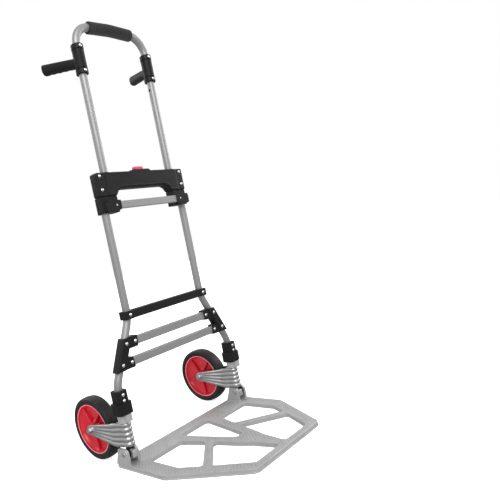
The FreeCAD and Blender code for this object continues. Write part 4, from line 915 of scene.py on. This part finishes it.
class TRUCK_OT_plate_trim(bpy.types.Operator):
    """Add the raised beads, the skirt and the tread bars of the toe plate"""
    bl_idname = "truck.plate_trim"
    bl_label = "Toe plate trim"

    def execute(self, context):
        sizes = context.scene.truck_plate
        top = 11 * MM
        r = sizes.bead_radius
        outline = self.mirrored_ring([(245, -36), (245, 135), (135, 315)])
        outline_radii = [8, 30, 22, 22, 30, 8]
        rings = [self.ring(outline, outline_radii, -3.4, top - 0.5 * r)]
        for corners, radii in self.windows():
            rings.append(self.ring(corners, radii, 3.2, top - 0.5 * r))
            if corners[0][0] != -corners[-1][0]:
                other = [(-x, y) for x, y in corners[::-1]]
                rings.append(self.ring(other, radii[::-1], 3.2, top - 0.5 * r))
        for i, path in enumerate(rings):
            mesh = skin("plate_bead_%d" % i, bead(path, r, 0.8), loop_rows=True)
            piece(mesh, "toe_plate", finishes["casting"], 60)
        self.tread(sizes, top)
        skirt = self.ring(outline, outline_radii, -0.6, 2.2 * MM)
        mesh = skin("plate_skirt", bead(skirt, sizes.skirt_radius, 1.2), loop_rows=True)
        piece(mesh, "toe_plate", finishes["casting"], 60)
        return {"FINISHED"}

    def tread(self, sizes, top):
        """Low slanting bars over the plate's flats, cut short at its rim and round its windows.

        Along each line the crossings with all the outlines are sorted, and every second gap
        between them lies on metal.  A bar is a flattened half round with pointed ends.
        """
        field = self.mirrored_ring([(190, -28), (190, 20), (237, 20), (237, 133), (130, 307)])
        shapes = [self.flat_ring(field, [4] * len(field), 0)]
        for corners, radii in self.windows():
            shapes.append(self.flat_ring(corners, radii, 6.5))
            if corners[0][0] != -corners[-1][0]:
                shapes.append(shapes[-1] * (-1, 1))
        lean = radians(42)
        along, across = np.array([np.sin(lean), -np.cos(lean)]), np.array([np.cos(lean), np.sin(lean)])
        starts = np.concatenate(shapes)
        ends = np.concatenate([np.roll(shape, -1, 0) for shape in shapes])
        here, there = starts @ across, ends @ across
        pitch = sizes.tread_pitch / MM
        spans = []
        for line in np.arange(here.min() + pitch, here.max(), pitch):
            cross = (here > line) != (there > line)
            share = ((line - here[cross]) / (there[cross] - here[cross]))[:, None]
            at = np.sort((starts[cross] + share * (ends[cross] - starts[cross])) @ along)
            spans += [(line, a, b) for a, b in at.reshape(-1, 2) if b - a > 5]
        line, a, b = np.array(spans).T
        stops = np.stack([a, a + 1.2, b - 1.2, b], 1)
        width = np.array([0, 1, 1, 0]) * sizes.tread_radius / MM
        turn = np.linspace(0, 2 * pi, 10, endpoint=False)
        side = line[:, None, None] + width[None, :, None] * np.cos(turn)
        flat = side[..., None] * across + stops[:, :, None, None] * along
        height = top / MM + 0.42 * width[None, :, None] * np.sin(turn) + 0 * side
        bars = np.stack([flat[..., 0] * MM, TUBE_PLANE - flat[..., 1] * MM, height * MM], -1)
        piece(skin("plate_tread", bars), "toe_plate", finishes["casting"], 70)

    @staticmethod
    def mirrored_ring(half):
        """Corners of one half, followed by their mirror image."""
        return half + [(-x, y) for x, y in reversed(half)]

    @staticmethod
    def windows():
        """Corners and corner radii of the plate's openings: half width, distance ahead of the pin."""
        slope = (245 - 135) / (315 - 135)
        inner = 245 - 34 * (1 + slope ** 2) ** 0.5

        def bar(ahead):
            return inner - (ahead - 135) * slope

        rear = [(86, 34), (200, 34), (200, 138), (bar(190), 190), (62, 103)]
        front = [(55, 123), (bar(208), 208), (bar(294), 294), (12, 294), (24, 225), (37, 190)]
        arch = [(57, 6), (31.5, 105), (14, 168), (-14, 168), (-31.5, 105), (-57, 6)]
        return [(rear, [9] * 5), (front, [9] * 6), (arch, [9, 12, 12, 12, 12, 9])]

    @staticmethod
    def flat_ring(corners, radii, grow):
        """The outline of the given corners, moved outwards by a margin."""
        path = rounded_path(np.array(corners, float), np.array(radii, float), 9)
        path = resampled(path, 2.5)
        ahead = np.roll(path, -1, 0) - np.roll(path, 1, 0)
        ahead /= np.linalg.norm(ahead, axis=1)[:, None]
        x, y = path.T
        area = (x * np.roll(y, -1) - np.roll(x, -1) * y).sum()
        out = np.stack([ahead[:, 1], -ahead[:, 0]], 1) * np.sign(area)
        return path + out * grow

    def ring(self, corners, radii, grow, height):
        """The same outline in metres, at a height."""
        path = self.flat_ring(corners, radii, grow)
        level = np.full(len(path), height)
        return np.stack([path[:, 0] * MM, TUBE_PLANE - path[:, 1] * MM, level], 1)


class TRUCK_OT_stage(bpy.types.Operator):
    """Set up the floor, the soft lights and the camera"""
    bl_idname = "truck.stage"
    bl_label = "Stage"

    def execute(self, context):
        sizes = context.scene.truck_stage
        self.floor()
        self.world(context.scene)
        aim = Vector((0, 0, 0.5))
        self.light("key_light", (-1.6, -2.2, 2.6), aim, 2.4, sizes.key_power * 10)
        self.light("fill_light", (2.6, -0.8, 1.6), aim, 1.8, sizes.fill_power * 10)
        self.light("back_light", (-0.6, 2.6, 2.2), aim, 1.8, sizes.fill_power * 8)
        self.camera(context.scene, sizes.lens)
        context.scene.view_settings.view_transform = "Standard"
        return {"FINISHED"}

    def floor(self):
        """A pale level sheet that gives off a little light of its own."""
        size = 12.0
        corners = [(-size, -size, 0), (size, -size, 0), (size, size, 0), (-size, size, 0)]
        mesh = bpy.data.meshes.new("floor")
        mesh.from_pydata(corners, [], [(0, 1, 2, 3)])
        made = bpy.data.objects.new("floor", mesh)
        bpy.context.scene.collection.objects.link(made)
        f = Finish("pale_floor", (0.93, 0.93, 0.93), 0.7, 0.0, Emission_Color=(1, 1, 1, 1),
                   Emission_Strength=0.75)
        f.mottle(0.5, 0.01)
        mesh.materials.append(f.done())
        made.visible_glossy = False

    def world(self, scene):
        """White to the camera; a soft grey gradient, lighter overhead, to the metal."""
        world = bpy.data.worlds.new("studio")
        world.use_nodes = True
        scene.world = world
        nodes, links = world.node_tree.nodes, world.node_tree.links
        nodes.clear()
        coordinates = nodes.new("ShaderNodeTexCoord")
        split = nodes.new("ShaderNodeSeparateXYZ")
        ramp = nodes.new("ShaderNodeValToRGB")
        soft, plain = nodes.new("ShaderNodeBackground"), nodes.new("ShaderNodeBackground")
        path, mix = nodes.new("ShaderNodeLightPath"), nodes.new("ShaderNodeMixShader")
        out = nodes.new("ShaderNodeOutputWorld")
        lift = nodes.new("ShaderNodeMath")
        lift.operation = "MULTIPLY_ADD"
        lift.inputs[1].default_value = 0.5
        lift.inputs[2].default_value = 0.5
        links.new(coordinates.outputs["Generated"], split.inputs[0])
        links.new(split.outputs["Z"], lift.inputs[0])
        links.new(lift.outputs[0], ramp.inputs[0])
        ends = ramp.color_ramp.elements
        ends[0].position, ends[0].color = 0.30, (0.30, 0.30, 0.305, 1)
        ends[1].position, ends[1].color = 0.92, (1.0, 1.0, 1.0, 1)
        for at, grey in ((0.47, 0.52), (0.54, 0.80)):
            ends.new(at).color = (grey, grey, grey * 1.01, 1)
        links.new(ramp.outputs[0], soft.inputs[0])
        soft.inputs[1].default_value = 0.85
        plain.inputs[0].default_value = (1, 1, 1, 1)
        plain.inputs[1].default_value = 1.0
        links.new(path.outputs["Is Camera Ray"], mix.inputs[0])
        links.new(soft.outputs[0], mix.inputs[1])
        links.new(plain.outputs[0], mix.inputs[2])
        links.new(mix.outputs[0], out.inputs[0])

    def light(self, name, place, aim, size, power):
        """A round soft light that faces a point."""
        data = bpy.data.lights.new(name, "AREA")
        data.shape = "DISK"
        data.size = size
        data.energy = power
        lamp = bpy.data.objects.new(name, data)
        lamp.location = place
        lamp.rotation_euler = (aim - Vector(place)).to_track_quat("-Z", "Y").to_euler()
        bpy.context.scene.collection.objects.link(lamp)

    def camera(self, scene, lens):
        """Low, ahead and to one side, with the truck leaning to the left of the frame."""
        data = bpy.data.cameras.new("camera")
        data.lens = lens
        data.sensor_width = 36.0
        data.shift_x, data.shift_y = 0.1926, 0.0676
        data.clip_end = 50.0
        made = bpy.data.objects.new("camera", data)
        place = (-0.9199, -0.9229, 0.5049)
        heading, dip, lean = radians(42.41), radians(3.41), radians(-11.96)
        turn = Euler((pi / 2 - dip, 0, -heading)).to_matrix() @ Euler((0, 0, lean)).to_matrix()
        made.matrix_world = Matrix.Translation(place) @ turn.to_4x4()
        scene.collection.objects.link(made)
        scene.camera = made


OPERATORS = (TRUCK_OT_finishes, TRUCK_OT_wheels, TRUCK_OT_forks, TRUCK_OT_bridge, TRUCK_OT_button_spring,
             TRUCK_OT_foam, TRUCK_OT_side_grips, TRUCK_OT_plate_trim, TRUCK_OT_stage)


class TRUCK_PT_panel(bpy.types.Panel):
    """Lists the pieces and their sizes"""
    bl_idname = "TRUCK_PT_panel"
    bl_label = "Hand truck"
    bl_space_type = "VIEW_3D"
    bl_region_type = "UI"
    bl_category = "Hand truck"

    def draw(self, context):
        for operator in OPERATORS:
            self.layout.operator(operator.bl_idname)
        for name in GROUPS:
            group = getattr(context.scene, name)
            box = self.layout.box()
            for key in group.bl_rna.properties.keys():
                if key not in {"rna_type", "name"}:
                    box.prop(group, key)


CLASSES = (*GROUPS.values(), *OPERATORS, TRUCK_PT_panel)


def register():
    """Make the classes known and hang the groups of sizes on the scene."""
    for cls in CLASSES:
        bpy.utils.register_class(cls)
    for name, group in GROUPS.items():
        setattr(bpy.types.Scene, name, PointerProperty(type=group))


def unregister():
    """Undo register in the opposite order."""
    for name in GROUPS:
        delattr(bpy.types.Scene, name)
    for cls in reversed(CLASSES):
        bpy.utils.unregister_class(cls)


def main():
    """Build every piece."""
    register()
    bpy.ops.truck.finishes()
    bpy.ops.truck.wheels()
    bpy.ops.truck.forks()
    bpy.ops.truck.bridge()
    bpy.ops.truck.button_spring()
    bpy.ops.truck.foam()
    bpy.ops.truck.side_grips()
    bpy.ops.truck.plate_trim()
    bpy.ops.truck.stage()


if __name__ == "__main__":
    main()
